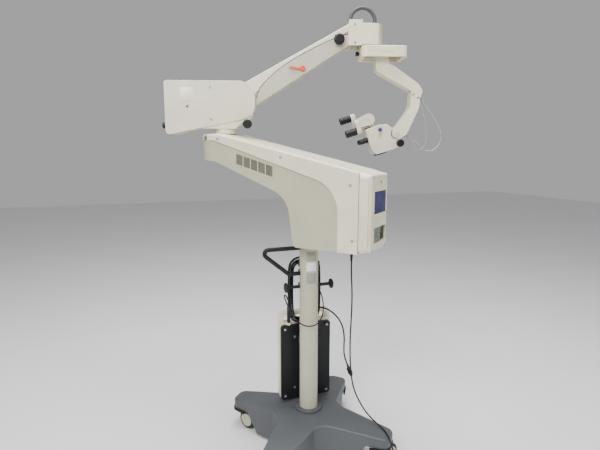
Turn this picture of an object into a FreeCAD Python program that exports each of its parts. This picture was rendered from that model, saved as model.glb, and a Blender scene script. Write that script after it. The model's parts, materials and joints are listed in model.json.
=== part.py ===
import FreeCAD, Part
import math
import os
import re
import Sketcher
from FreeCAD import Placement, Rotation, Vector

# Surgical microscope on a castor floor stand, in millimetres.
# The origin is on the floor under the column, +Z is up, and X and Y follow the
# square that the four castors make.

doc = FreeCAD.newDocument("SurgicalMicroscope")
sheet = doc.addObject("Spreadsheet::Sheet", "Sizes")
aliases = {}


def sizes(**values):
    """Put each driving dimension in the sheet under its own alias."""
    for name, value in values.items():
        cell = "A%d" % (len(aliases) + 1)
        aliases[name] = cell
        sheet.set(cell, str(value))
        sheet.setAlias(cell, name)
    doc.recompute([sheet])


def full(expression):
    """Write the sheet's name before every alias in an expression."""
    def named(match):
        word = match.group(0)
        return "Sizes." + word if word in aliases else word
    return re.sub(r"[A-Za-z_][A-Za-z_0-9]*", named, str(expression))


def val(expression):
    """The number that an expression of aliases has now."""
    return float(sheet.evalExpression(full(expression)))


def vec(x="0", y="0", z="0"):
    return Vector(val(x), val(y), val(z))


def home(base, x="0", y="0", z="0", about=(0, 0, 1), turn="0"):
    """A frame set in another one: moved by x, y, z, then turned about an axis."""
    return base * Placement(vec(x, y, z), Rotation(Vector(*about), val(turn)))


def circle(x, y, radius):
    return {"circle": (x, y, radius)}


def box(x0, x1, y0, y1, radius=None):
    """Corners of a rectangle, with one radius at all four."""
    return [(x0, y0, radius), (x1, y0, radius), (x1, y1, radius), (x0, y1, radius)]


def fix(sketch, geometry, point, x, y):
    """Bind a point's place in the sketch to two expressions."""
    for kind, expression, axis in (("DistanceX", x, -2), ("DistanceY", y, -1)):
        if str(expression) == "0":
            sketch.addConstraint(Sketcher.Constraint("PointOnObject", geometry, point, axis))
        else:
            index = sketch.addConstraint(
                Sketcher.Constraint(kind, -1, 1, geometry, point, val(expression)))
            sketch.setExpression("Constraints[%d]" % index, full(expression))


def draw_circle(sketch, x, y, radius):
    ring = Part.Circle(vec(x, y), Vector(0, 0, 1), val(radius))
    index = sketch.addGeometry(ring)
    fix(sketch, index, 3, x, y)
    size = sketch.addConstraint(Sketcher.Constraint("Radius", index, val(radius)))
    sketch.setExpression("Constraints[%d]" % size, full(radius))


def draw_outline(sketch, corners, is_open=False):
    """An outline of lines, with a tangent arc at each corner that has a radius."""
    corners = [tuple(corner) + (None,) * (3 - len(corner)) for corner in corners]
    points = [vec(x, y) for x, y, radius in corners]
    count = len(points)
    enter, leave, arcs = [], [], []
    for i, (x, y, radius) in enumerate(corners):
        here = points[i]
        if radius is None:
            enter.append(here)
            leave.append(here)
            arcs.append(None)
            continue
        back = (points[i - 1] - here).normalize()
        ahead = (points[(i + 1) % count] - here).normalize()
        half = back.getAngle(ahead) / 2
        reach = val(radius) / math.tan(half)
        centre = here + (back + ahead).normalize() * (val(radius) / math.sin(half))
        enter.append(here + back * reach)
        leave.append(here + ahead * reach)
        left_turn = back.cross(ahead).z < 0
        first, last = (enter[i], leave[i]) if left_turn else (leave[i], enter[i])
        angles = [math.atan2(p.y - centre.y, p.x - centre.x) for p in (first, last)]
        if angles[1] < angles[0]:
            angles[1] += 2 * math.pi
        round_edge = Part.Circle(centre, Vector(0, 0, 1), val(radius))
        arcs.append((Part.ArcOfCircle(round_edge, *angles), left_turn))
    lines = [sketch.addGeometry(Part.LineSegment(leave[i], enter[(i + 1) % count]))
             for i in range(count - is_open)]
    if is_open:
        fix(sketch, lines[0], 1, *corners[0][:2])
        fix(sketch, lines[-1], 2, *corners[-1][:2])
    for i, (x, y, radius) in enumerate(corners):
        if is_open and i in (0, count - 1):
            continue
        before, after = lines[i - 1], lines[i]
        if arcs[i] is None:
            sketch.addConstraint(Sketcher.Constraint("Coincident", before, 2, after, 1))
            fix(sketch, after, 1, x, y)
            continue
        arc = sketch.addGeometry(arcs[i][0])
        start, end = (1, 2) if arcs[i][1] else (2, 1)
        sketch.addConstraint(Sketcher.Constraint("Tangent", before, 2, arc, start))
        sketch.addConstraint(Sketcher.Constraint("Tangent", arc, end, after, 1))
        size = sketch.addConstraint(Sketcher.Constraint("Radius", arc, val(radius)))
        sketch.setExpression("Constraints[%d]" % size, full(radius))
        corner = sketch.addGeometry(Part.Point(points[i]), True)
        sketch.addConstraint(Sketcher.Constraint("PointOnObject", corner, 1, before))
        sketch.addConstraint(Sketcher.Constraint("PointOnObject", corner, 1, after))
        fix(sketch, corner, 1, x, y)


class Piece:
    """One sub-part: a body of sketched features in a frame of its own."""

    def __init__(self, label, frame=Placement()):
        self.body = doc.addObject("PartDesign::Body", label)
        self.body.Label = label
        self.body.Placement = frame

    def origin(self, role):
        return [f for f in self.body.Origin.OriginFeatures if f.Role == role][0]

    def sketch(self, plane, shapes, at="0", shift=("0", "0"), tilt="0", is_open=False):
        sketch = self.body.newObject("Sketcher::SketchObject", "Sketch")
        sketch.AttachmentSupport = (self.origin(plane + "_Plane"), [""])
        sketch.MapMode = "FlatFace"
        for axis, expression in zip("xyz", (shift[0], shift[1], at)):
            sketch.setExpression(".AttachmentOffset.Base." + axis, full(expression))
        sketch.setExpression(".AttachmentOffset.Rotation.Angle", full(tilt))
        for shape in shapes:
            if isinstance(shape, dict):
                draw_circle(sketch, *shape["circle"])
            else:
                draw_outline(sketch, shape, is_open)
        return sketch

    def extrude(self, kind, plane, shapes, length, at, both, flip, shift, tilt):
        profile = self.sketch(plane, shapes, at, shift, tilt)
        feature = self.body.newObject("PartDesign::" + kind, kind)
        feature.Profile = profile
        feature.setExpression("Length", full(length))
        feature.Midplane = both
        feature.Reversed = flip
        return feature

    def pad(self, plane, shapes, length, at="0", both=False, flip=False, shift=("0", "0"), tilt="0"):
        return self.extrude("Pad", plane, shapes, length, at, both, flip, shift, tilt)

    def pocket(self, plane, shapes, length, at="0", both=False, flip=False, shift=("0", "0"), tilt="0"):
        return self.extrude("Pocket", plane, shapes, length, at, both, flip, shift, tilt)

    def turn(self, kind, plane, shapes, axis="V_Axis", at="0", shift=("0", "0")):
        profile = self.sketch(plane, shapes, at, shift)
        feature = self.body.newObject("PartDesign::" + kind, kind)
        feature.Profile = profile
        feature.ReferenceAxis = (profile, [axis])
        return feature

    def revolve(self, plane, shapes, axis="V_Axis", at="0", shift=("0", "0")):
        return self.turn("Revolution", plane, shapes, axis, at, shift)

    def groove(self, plane, shapes, axis="V_Axis", at="0", shift=("0", "0")):
        return self.turn("Groove", plane, shapes, axis, at, shift)

    def pipe(self, plane, route, section_plane, section, at):
        """A rod that follows an open route drawn on a plane."""
        path = self.sketch(plane, [route], is_open=True)
        profile = self.sketch(section_plane, [section], at)
        feature = self.body.newObject("PartDesign::AdditivePipe", "AdditivePipe")
        feature.Profile = (profile, [""])
        feature.Spine = (path, [""])
        return feature

    def polar(self, features, count, role="Z_Axis"):
        pattern = self.body.newObject("PartDesign::PolarPattern", "PolarPattern")
        pattern.Originals = features
        pattern.Axis = (self.origin(role), [""])
        pattern.Angle = 360
        pattern.Occurrences = count
        self.body.Tip = pattern
        return pattern

    def mirror(self, features, role):
        pattern = self.body.newObject("PartDesign::Mirrored", "Mirrored")
        pattern.Originals = features
        pattern.MirrorPlane = (self.origin(role + "_Plane"), [""])
        self.body.Tip = pattern
        return pattern

    def row(self, features, direction, length, count):
        pattern = self.body.newObject("PartDesign::LinearPattern", "LinearPattern")
        pattern.Originals = features
        pattern.Direction = direction
        pattern.setExpression("Length", full(length))
        pattern.Occurrences = count
        self.body.Tip = pattern
        return pattern

    def dress(self, kind, size, test):
        """Round or chamfer the edges of the newest shape that pass a test."""
        doc.recompute()
        base = self.body.Tip
        names = ["Edge%d" % (i + 1) for i, edge in enumerate(base.Shape.Edges) if test(edge)]
        feature = self.body.newObject("PartDesign::" + kind, kind)
        feature.Base = (base, names)
        feature.setExpression("Radius" if kind == "Fillet" else "Size", full(size))
        return feature

    def fillet(self, radius, test):
        return self.dress("Fillet", radius, test)

    def chamfer(self, size, test):
        return self.dress("Chamfer", size, test)


def runs(edge, *direction):
    """True for a straight edge along a direction."""
    if edge.Curve.TypeId != "Part::GeomLine":
        return False
    way = edge.tangentAt(edge.FirstParameter)
    return abs(abs(way.dot(Vector(*direction))) - 1) < 1e-6


def flat_at(edge, axis, expression):
    """True for an edge whose points all have one coordinate."""
    level = val(expression)
    bounds = edge.BoundBox
    low = getattr(bounds, axis + "Min")
    high = getattr(bounds, axis + "Max")
    return abs(low - level) < 0.01 and abs(high - level) < 0.01


def solid(label, shape, frame=Placement()):
    """A sub-part whose shape is made directly."""
    feature = doc.addObject("Part::Feature", label)
    feature.Label = label
    feature.Shape = shape
    feature.Placement = frame
    return feature


def rounded_path(points):
    """Straight runs joined by tangent arcs, each as large as its two runs allow."""
    edges, radii = [], []
    start = points[0]
    for before, here, after in zip(points, points[1:], points[2:]):
        back, ahead = before - here, after - here
        turn = math.pi - back.getAngle(ahead)
        reach = 0.45 * min(back.Length, ahead.Length)
        radii.append(reach / math.tan(turn / 2))
        enter = here + back.normalize() * reach
        leave = here + ahead.normalize() * reach
        inward = (back + ahead).normalize()
        middle = here + inward * (radii[-1] / math.cos(turn / 2) - radii[-1])
        edges.append(Part.LineSegment(start, enter).toShape())
        edges.append(Part.Arc(enter, middle, leave).toShape())
        start = leave
    edges.append(Part.LineSegment(start, points[-1]).toShape())
    return Part.Wire(edges), radii


def tube(label, points, diameter, frame=Placement()):
    """A cord's stretch: a round section along its route."""
    path, radii = rounded_path([Vector(*p) for p in points])
    first = path.Edges[0]
    way = first.tangentAt(first.FirstParameter)
    section = Part.Wire([Part.Circle(Vector(*points[0]), way, val(diameter) / 2).toShape()])
    swept = path.makePipeShell([section], True, False)
    area = math.pi * val(diameter) ** 2 / 4
    print(label, "length %.0f" % path.Length,
          "volume ratio %.4f" % (swept.Volume / (area * path.Length)),
          "radii", " ".join("%.0f" % r for r in radii))
    return solid(label, swept, frame)


# Driving dimensions, a block for each group of pieces
# The base cover and its four legs
sizes(leg_reach=418, leg_half=48, leg_taper=9.5, leg_tip_r=36, waist_r=80,
      base_wall=5, skirt_low=14, cover_tip=152, cover_crown=190, crown_r=75,
      lip_low=110.3, lip_deep=12, lip_proud=3, arch_low_at=250, arch_top_at=316,
      castor_at=370, boss_r=26, column_d=88, column_wall=5, column_top=1290)
# The cast cross inside it
sizes(frame_low=112, frame_high=140, frame_half=30, frame_reach=400, socket_d=130,
      socket_low=62, stem_d=20, running=0.3)
# The column's collar
sizes(collar_d=131, collar_high=13)
# The castors
sizes(wheel_d=96, wheel_wide=20, wheel_gap=22, trail=36, axle_d=12, hub_d=72,
      fork_high=108, pedal_wide=34, pedal_x=-19, pedal_z=82.5, castor_head_d=50)
# The carrier arm
sizes(arm_yaw=131.7, arm_half=115, pivot_reach=470, tip_top=1524, shoulder_top=1345,
      tip_low=1404, arm_wall=5, neck_back=-288, housing_end=-339, arm_floor=1015,
      parting_gap=1, side_recess=3, bearing_d=126)
# Its shroud, vent slots and cable gland
sizes(shroud_wall=5, shroud_top=1262, cable_x=-208, cable_y=-15.6, vent_x=128, vent_z=1327,
      vent_slope=15.8, vent_high=47, vent_slot=3.2, vent_pitch=6.2, vent_group=42.5)
# The swivel head
sizes(head_turn=-148.2, head_half=60, plate_thick=5, hinge_x=65, hinge_z=1679, turret_d=104,
      head_floor=1551, hinge_pin_d=24, arm_side=48, play=0.4, bore_play=0.08, shaft_r=34)
# The spring arm
sizes(rise=30.46, arm_length=641.5, root_r=64, end_r=41, spring_cover_gap=0.5,
      channel_start=104, channel_end=50, gas_r=16, gas_start=128, gas_tube=262, gas_rod_r=6,
      gas_end=548, gas_z=-6, gas_pin_r=5,
      gas_eye=16)
# The end block
sizes(cheek_thick=8, axis_x=100, bearing_low=-54, bearing_high=43, axis_pin_r=18,
      end_pin_r=10, cheek_low=-59, cheek_high=58, hose_bridge_low=50)
# The X-Y unit
sizes(xy_left=-55, xy_right=170, xy_half=75, xy_top=-60.5, xy_low=-112, stem_left=23,
      stem_right=87, band_half=30, slide_deep=32, slide_thick=12, flange_thick=8, stem_r=26,
      slide_long=64, slide_half=57.7, mitre_in_x=204, mitre_in_z=-266, mitre_out_x=250,
      mitre_out_z=-300)
# The foot control, the handle and the brackets on the column
sizes(handle_high=998, handle_low=876, handle_reach=247, handle_d=20, ring_wall=7, ring_high=26,
      hook_z=812, hook_reach=108, hook_d=16, disc_d=48, panel_x=18, panel_z=198, panel_half=134,
      panel_high=457, plate_half=131, plate_high=394, plate_back=97, panel_plate=12,
      shell_deep=41, slot_low=404, slot_high=440, gland_x=-91)
# The display and the lamp compartment in the end cover
sizes(display_y0=-82, display_y1=66, display_z0=1180, display_z1=1275, lamp_y0=-88, lamp_y1=63,
      lamp_z0=1057, lamp_z1=1122, drawer_deep=70, drawer_y0=-22, drawer_grip=8)
# The microscope
sizes(scope_tilt=18, tilt_x=140, tilt_z=-474, ear_slot=20, ear_r=27, tilt_pin_r=8, scope_half=48,
      lower_half=55, head_bottom=-66, flange_x=-116, flange_d=68, objective_d=70,
      objective_x=-102, barrel_r=33, rim_high=8)
# The binocular tube
sizes(knuckle_x=-118, knuckle_z=110, knuckle_r=30, knuckle_half=17, tube_half=31,
      carrier_x=-170, carrier_z=108, carrier_apart=33, swing=35, eyepiece_d=36, pivot_r=9,
      pivot_deep=8)

FLOOR = Placement()

# The base: an X of four legs under a moulded cover


def leg_plan(grow="0", tip_r="leg_tip_r", notch_r="waist_r"):
    """Plan of the four tapered legs, all sides moved out by grow."""
    half = "(leg_half + %s)" % grow
    root = "(%s + leg_reach*tan(leg_taper))/(1 + tan(leg_taper))" % half
    tip = "(leg_reach + %s)" % grow
    corners = []
    for along, across in ((1, 0), (0, 1), (-1, 0), (0, -1)):
        end = ["%s*%d" % (tip, along), "%s*%d" % (tip, across)]
        side = ["%s*%d" % (half, -across), "%s*%d" % (half, along)]
        corners.append(("%s - (%s)" % (end[0], side[0]), "%s - (%s)" % (end[1], side[1]), tip_r))
        corners.append(("%s + %s" % (end[0], side[0]), "%s + %s" % (end[1], side[1]), tip_r))
        notch = (along - across, along + across)
        corners.append(("%s*%d" % (root, notch[0]), "%s*%d" % (root, notch[1]), notch_r))
    return corners


LEGS = Placement(Vector(), Rotation(Vector(0, 0, 1), 45))

cover = Piece("base_cover", LEGS)
cover.pad("XY", [leg_plan()], "cover_crown - skirt_low", at="skirt_low")
cover.fillet("8", lambda edge: flat_at(edge, "Z", "cover_crown"))
cover.groove("XZ", [[("crown_r", "cover_crown"), ("leg_reach + 20", "cover_tip"),
                     ("leg_reach + 20", "cover_crown + 20"), ("crown_r", "cover_crown + 20")]])
cover.fillet("7", lambda edge: edge.BoundBox.ZMin > val("cover_tip") - 1
             and edge.BoundBox.ZMax < val("cover_crown") + 1
             and edge.BoundBox.ZMax - edge.BoundBox.ZMin < 60
             and Vector(edge.BoundBox.Center.x, edge.BoundBox.Center.y, 0).Length > val("crown_r"))
cover.pocket("XY", [leg_plan("-base_wall", "leg_tip_r - base_wall", "waist_r + base_wall")],
             "cover_tip - base_wall - skirt_low", at="skirt_low", flip=True)
cover.pocket("XY", [circle("0", "0", "column_d/2")], "cover_crown", flip=True)
arch = cover.pocket("XZ", [[("arch_low_at", "skirt_low - 5"), ("arch_top_at", "lip_low"),
                            ("leg_reach + 10", "lip_low"), ("leg_reach + 10", "skirt_low - 5")]],
                    "leg_reach", both=True)
cover.polar([arch], 4)

# Cast cross inside the cover, with a socket for the column and a boss over each castor
frame = Piece("base_frame", LEGS)
cross_arm = frame.pad("XY", [box("0", "frame_reach", "-frame_half", "frame_half", "12")],
                      "frame_high - frame_low", at="frame_low")
boss = frame.pad("XY", [circle("castor_at", "0", "boss_r")],
                 "cover_tip - base_wall - running - frame_high + 1", at="frame_high - 1")
bore = frame.pocket("XY", [circle("castor_at", "0", "stem_d/2 + bore_play")], "60",
                    at="frame_low - 5", flip=True)
frame.polar([cross_arm, boss, bore], 4)
frame.pad("XY", [circle("0", "0", "socket_d/2")], "cover_tip - base_wall - socket_low - 1",
          at="socket_low")
frame.pocket("XY", [circle("0", "0", "column_d/2")], "200", at="socket_low + 12", flip=True)

# Black bumper lip round the tip of each leg
lips = Piece("bumper_lips", LEGS)
tip_end = "leg_reach + lip_proud"
tip_side = "leg_half + lip_proud"
lip_back = "arch_top_at + 18"
lip_plan = [(lip_back, "-(%s) - (leg_reach - %s)*tan(leg_taper)" % (tip_side, lip_back)),
            (tip_end, "-(%s)" % tip_side, "leg_tip_r + lip_proud"),
            (tip_end, tip_side, "leg_tip_r + lip_proud"),
            (lip_back, "%s + (leg_reach - %s)*tan(leg_taper)" % (tip_side, lip_back)),
            (lip_back, "%s + (leg_reach - %s)*tan(leg_taper) - lip_proud - base_wall"
             % (tip_side, lip_back)),
            ("leg_reach - base_wall", "leg_half - base_wall", "leg_tip_r - base_wall"),
            ("leg_reach - base_wall", "base_wall - leg_half", "leg_tip_r - base_wall"),
            (lip_back, "-(%s) - (leg_reach - %s)*tan(leg_taper) + lip_proud + base_wall"
             % (tip_side, lip_back))]
lip = lips.pad("XY", [lip_plan], "lip_deep", at="lip_low - running - lip_deep")
lips.polar([lip], 4)

# The column and the collar that closes the cover round it
column = Piece("column_tube", FLOOR)
column.pad("XY", [circle("0", "0", "column_d/2"), circle("0", "0", "column_d/2 - column_wall")],
           "column_top - socket_low - 12", at="socket_low + 12")
collar = Piece("column_collar", FLOOR)
collar.revolve("XZ", [[("column_d/2 + running", "cover_crown"), ("collar_d/2", "cover_crown"),
                       ("collar_d/2", "cover_crown + collar_high", "4"),
                       ("column_d/2 + running", "cover_crown + collar_high")]])

# Twin-wheel castors, each in a frame at its own swivel axis with the wheels towards +X
CASTORS = {"rear_left": (135, 302), "front_left": (225, 250),
           "front_right": (315, 20), "rear_right": (45, 205)}
castor_homes = {}
for corner, (leg_angle, heading) in CASTORS.items():
    spot = Rotation(Vector(0, 0, 1), leg_angle).multVec(vec("castor_at"))
    castor_homes[corner] = Placement(spot, Rotation(Vector(0, 0, 1), heading))

for corner, place in castor_homes.items():
    fork = Piece("castor_fork_" + corner, place)
    fork.pad("XZ", [[("-22", "72", "10"), ("4", "62", "20"), ("trail - 14", "30", "12"),
                     ("trail + 14", "30", "14"), ("trail + 34", "66", "12"),
                     ("trail + 4", "92", "20"), ("22", "fork_high - 6"), ("-22", "fork_high - 6")]],
             "wheel_gap - 2*running", both=True)
    fork.revolve("XZ", [[("0", "fork_high - 10"), ("castor_head_d/2", "fork_high - 10"),
                         ("castor_head_d/2", "fork_high"), ("stem_d/2", "fork_high"),
                         ("stem_d/2", "frame_high + 6"), ("0", "frame_high + 6")]])
    fork.pocket("XZ", [circle("trail", "wheel_d/2", "axle_d/2 + bore_play")], "wheel_gap + 10",
                both=True)
    fork.pocket("XZ", [box("-30", "-14", "60", "88")], "pedal_wide*0.3 + 1", both=True)

    wheels = Piece("castor_wheels_" + corner, place)
    half_gap = "wheel_gap/2"
    outer = "(wheel_gap/2 + wheel_wide)"
    rim = "wheel_d/2"
    wheels.revolve("XZ", [[("running", "0"), ("running", "axle_d/2"),
                           (half_gap, "axle_d/2"), (half_gap, "hub_d/2 - 4"),
                           ("%s + 3" % half_gap, "hub_d/2"),
                           ("%s + 1" % half_gap, rim, "5"), ("%s - 1" % outer, rim, "5"),
                           ("%s - 1" % outer, "hub_d/2 + 2"), ("%s - 3" % outer, "hub_d/2"),
                           (outer, "hub_d/2 - 3", "2"), ("%s + 2" % outer, "0")]],
                   axis="H_Axis", shift=("0", "0"))
    wheels.body.Placement = place * Placement(vec("trail", "0", "wheel_d/2"),
                                              Rotation(Vector(0, 0, 1), 90))
    wheels.mirror([wheels.body.Tip], "YZ")

    if not corner.startswith("rear"):
        continue
    pedal = Piece("castor_brake_" + corner, place)
    pedal.pad("XZ", [[("-34", "79"), ("-60", "73", "3"), ("-60", "79", "3"),
                      ("-34", "86"), ("-15", "86", "3"), ("-15", "79", "3")]],
              "pedal_wide*0.3", both=True)
    pedal.pad("XZ", [circle("pedal_x", "pedal_z", "4.5")], "pedal_wide*0.3", both=True)
    pedal.pad("XZ", [[("-36", "80"), ("-62", "74", "3"), ("-64", "80", "3"), ("-38", "87")]],
              "pedal_wide", both=True)

# The carrier arm turns on the column: a cast lower housing and a moulded upper cover
ARM = home(FLOOR, turn="arm_yaw")
pivot_tip = "pivot_reach + 112"
roof = [("neck_back", "shoulder_top + 12"), ("380", "1512"), ("pivot_reach - 40", "tip_top", "60"),
        (pivot_tip, "tip_top")]
parting = [(pivot_tip, "tip_top - 28"), ("455", "1492", "40"), ("-195", "1288.5", "150"),
           ("-195", "arm_floor")]
arm_cover = Piece("arm_cover", ARM)
arm_cover.pad("XZ", [roof + parting + [("neck_back", "arm_floor")]], "2*arm_half", both=True)
arm_cover.fillet("arm_half - 1", lambda edge: runs(edge, 0, 0, 1)
                 and edge.BoundBox.XMin > val("pivot_reach"))
arm_cover.fillet("9", lambda edge: edge.BoundBox.ZMin > val("shoulder_top") - 5
                 and edge.Curve.TypeId != "Part::GeomPlane"
                 and (abs(abs(edge.BoundBox.YMin) - val("arm_half")) < 0.01
                      or edge.BoundBox.XMin > val("pivot_reach") - 5)
                 and edge.BoundBox.Center.z > val("shoulder_top") + 0.26
                 * (edge.BoundBox.Center.x + 250) - 24
                 and edge.Length > 3)
arm_cover.pocket("XZ", [[("neck_back - 5", "shoulder_top + 12 - arm_wall"),
                         ("380", "1512 - arm_wall"),
                         ("pivot_reach - 40", "tip_top - arm_wall", "60"),
                         ("pivot_reach + 60", "tip_top - arm_wall", "20"),
                         ("pivot_reach + 60", "tip_top - 80"), ("-195", "1200"),
                         ("-195", "arm_floor + arm_wall"),
                         ("neck_back - 5", "arm_floor + arm_wall")]],
                 "2*arm_half - 2*arm_wall", both=True)
arm_cover.pocket("XY", [circle("pivot_reach", "0", "56")], "100", at="tip_top - 60", flip=True)
arm_cover.pad("XY", [circle("cable_x", "cable_y", "9")], "20", at="arm_floor - 19")

# Lower housing: open at the top, its sides set back a little from the cover
casting = Piece("arm_casting", ARM)
belly = [(pivot_tip + " - side_recess", "tip_top - 28 - parting_gap"),
         ("455", "1492 - parting_gap", "40"), ("-195 + parting_gap", "1288.5 - parting_gap", "149"),
         ("-195 + parting_gap", "arm_floor"),
         ("22", "arm_floor", "22"), ("52", "1238", "130"), ("455", "1395", "60"),
         (pivot_tip + " - side_recess", "tip_low")]
casting.pad("XZ", [belly], "2*arm_half - 2*side_recess", both=True)
casting.fillet("arm_half - side_recess - 1", lambda edge: runs(edge, 0, 0, 1)
               and edge.BoundBox.XMin > val("pivot_reach"))
casting.pocket("XZ", [[("pivot_reach - 60", "1500", "10"), ("-195", "1400"),
                       ("-195 - 5", "arm_floor + arm_wall"),
                       ("22 - arm_wall", "arm_floor + arm_wall", "18"),
                       ("52 - arm_wall", "1238 + arm_wall", "130"),
                       ("pivot_reach - 60", "1398 + arm_wall", "20")]],
               "2*arm_half - 2*side_recess - 2*arm_wall", both=True)
casting.pocket("XY", [circle("0", "0", "column_d/2 + 1")], "arm_wall + 10",
               at="arm_floor - 5", flip=True)
casting.pocket("XY", [circle("pivot_reach", "0", "shaft_r + bore_play")], "90", at="tip_low + 20",
               flip=True)

# Round shroud in front of the column, vent slots in both sides, and a cable gland below
casting.pad("XY", [circle("0", "0", "bearing_d/2 + shroud_wall")], "shroud_top - arm_floor",
            at="arm_floor")
casting.pocket("XY", [circle("0", "0", "bearing_d/2 + running")],
               "shroud_top - arm_floor", at="arm_floor + arm_wall", flip=True)
casting.pocket("XY", [circle("0", "0", "column_d/2 + 1")], "arm_wall + 10",
               at="arm_floor - 5", flip=True)
lean = "-sin(vent_slope)*vent_high"
rise_up = "cos(vent_slope)*vent_high"
slots = []
for i in range(6):
    u = "vent_pitch*%d" % i
    slots.append([(u, "0"), ("%s + vent_slot" % u, "0"),
                  ("%s + vent_slot - (%s)" % (u, lean), rise_up), ("%s - (%s)" % (u, lean), rise_up)])
group = casting.pocket("XZ", slots, "2*arm_half + 20", both=True, shift=("vent_x", "vent_z"),
                       tilt="vent_slope")
casting.row([group], (group.Profile[0], ["H_Axis"]), "4*vent_group", 5)

# End cover with the control display recess and the lamp compartment
end_cover = Piece("arm_end_cover", ARM)
end_cover.pad("XZ", [[("housing_end", "arm_floor + 10", "8"), ("neck_back - running", "arm_floor"),
                      ("neck_back - running", "shoulder_top + 12"),
                      ("housing_end", "shoulder_top", "8")]], "2*arm_half", both=True)
end_cover.fillet("26", lambda edge: runs(edge, 0, 0, 1)
                 and abs(edge.BoundBox.XMin - val("housing_end")) < 0.01)
end_cover.pocket("YZ", [box("arm_wall - arm_half", "arm_half - arm_wall",
                            "arm_floor + arm_wall + 12", "shoulder_top - arm_wall", "20")],
                 "neck_back - housing_end - 2*arm_wall", at="neck_back", flip=False)
end_cover.pocket("YZ", [box("display_y0", "display_y1", "display_z0", "display_z1", "4")],
                 "4", at="housing_end", flip=True)
end_cover.pocket("YZ", [box("lamp_y0", "lamp_y1", "lamp_z0", "lamp_z1", "3")],
                 "3*arm_wall", at="housing_end", flip=True)
screen = Piece("display_screen", ARM)
screen.pad("YZ", [box("display_y0 + 0.5", "display_y1 - 0.5", "display_z0 + 0.5",
                      "display_z1 - 0.5", "3.5")], "2.5", at="housing_end + 1.5")
drawer = Piece("lamp_drawer", ARM)
drawer.pad("YZ", [box("drawer_y0", "lamp_y1 - running", "lamp_z0 + running",
                      "lamp_z1 - running", "2")], "drawer_deep", at="housing_end + 2")
drawer.pad("YZ", [box("lamp_y0 + 92", "lamp_y1 - 28", "lamp_z0 + 26", "lamp_z0 + 38", "3")],
           "drawer_grip", at="housing_end - 5")

# Bearing unit on the column top, bolted into the housing
bearing = Piece("column_bearing", ARM)
bearing.pad("XY", [circle("0", "0", "bearing_d/2")], "column_top - arm_floor - arm_wall + 20",
            at="arm_floor + arm_wall")
bearing.pocket("XY", [circle("0", "0", "column_d/2 + bore_play")],
               "column_top - arm_floor", at="arm_floor", flip=True)

# Swivel head: a casting that turns on the arm's tip, between two flat side plates
HEAD = home(ARM, x="pivot_reach", turn="head_turn")
plate_edge = [("-283", "1519", "18"), ("-283", "1776", "14"), ("hinge_x + 85", "1776", "80"),
              ("hinge_x + 85", "1607", "74"), ("1", "1576")]
plates = Piece("head_plates", HEAD)
side = plates.pad("XZ", [plate_edge], "plate_thick", at="head_half - plate_thick")
plates.mirror([side], "XZ")
plates.fillet("2", lambda edge: abs(edge.BoundBox.YMin) > val("head_half") - 0.01
              and abs(edge.BoundBox.YMax) > val("head_half") - 0.01)

head = Piece("head_casting", HEAD)
head.pad("XZ", [[("-275", "1530", "10"), ("-275", "1768", "8"), ("hinge_x + 76", "1768", "70"),
                 ("hinge_x + 76", "1622", "50"), ("hinge_x + 59", "1597"), ("93", "1586", "12"),
                 ("72", "1569"), ("53", "head_floor"), ("-106", "head_floor"), ("-106", "1562")]],
         "2*(head_half - plate_thick)", both=True)
head.pocket("XZ", [circle("hinge_x", "hinge_z", "82")], "2*arm_side + 4*play", both=True)
head.pocket("XZ", [[("hinge_x - 10", "hinge_z - 104"), ("hinge_x + 90", "hinge_z - 104"),
                    ("hinge_x + 90", "hinge_z + 92"), ("hinge_x - 10", "hinge_z + 92")]],
            "2*arm_side + 4*play", both=True)
head.pad("XZ", [circle("hinge_x", "hinge_z", "hinge_pin_d/2")], "2*arm_side + 8", both=True)
head.revolve("XZ", [[("0", "tip_top + play"), ("turret_d/2", "tip_top + play", "4"),
                     ("turret_d/2", "head_floor + 2"), ("0", "head_floor + 2")]])
head.revolve("XZ", [[("0", "tip_low + 30"), ("shaft_r", "tip_low + 30"), ("shaft_r", "tip_top + 3"),
                     ("0", "tip_top + 3")]])

knob = Piece("head_brake_knob", HEAD)
knob.revolve("XZ", [[("0", "head_half + running"), ("9", "head_half + running"), ("9", "head_half + 6"),
                     ("22", "head_half + 8", "4"), ("22", "head_half + 26", "5"),
                     ("0", "head_half + 26")]])
knob.body.Placement = HEAD * Placement(vec("112", "0", "1572"), Rotation(Vector(1, 0, 0), 90))

# Spring arm: a channel casting with a cover, hinged between the head's cheeks
SPRING = home(HEAD, x="hinge_x", z="hinge_z", about=(0, 1, 0), turn="-rise")
end_x = "(arm_length + end_r)"
spring = Piece("spring_arm_casting", SPRING)
spring.pad("XZ", [[("-root_r", "-root_r", "root_r - 5"), ("-root_r", "root_r", "root_r - 5"),
                   ("84", "root_r - 3", "3"), ("84", "-13", "2"), ("212", "19", "60"),
                   (end_x, "13"), (end_x, "-end_r", "end_r - 1")]], "2*(arm_side - 3)", both=True)
spring.pocket("XZ", [[("channel_start", "-46", "8"), ("arm_length - channel_end", "-33", "8"),
                      ("arm_length - channel_end", "40"), ("channel_start", "40")]], "2*(arm_side - 9)", both=True)
spring.pocket("XZ", [circle("0", "0", "hinge_pin_d/2 + bore_play")], "200", both=True)
spring.pocket("XZ", [circle("arm_length", "0", "end_pin_r + bore_play")], "200", both=True)
spring_cover = Piece("spring_arm_cover", SPRING)
spring_cover.pad("XZ", [[("84 + spring_cover_gap", "-12", "2"), ("212", "19 + spring_cover_gap", "60"),
                         (end_x, "13 + spring_cover_gap"), (end_x + " - 2", "end_r", "24"),
                         ("84 + spring_cover_gap", "root_r - 4")]], "2*arm_side", both=True)
spring_cover.fillet("6", lambda edge: edge.BoundBox.ZMin > 22
                    and abs(abs(edge.BoundBox.YMin) - val("arm_side")) < 0.01
                    and abs(edge.BoundBox.YMax - edge.BoundBox.YMin) < 0.01
                    and edge.BoundBox.ZMin > 30)
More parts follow.
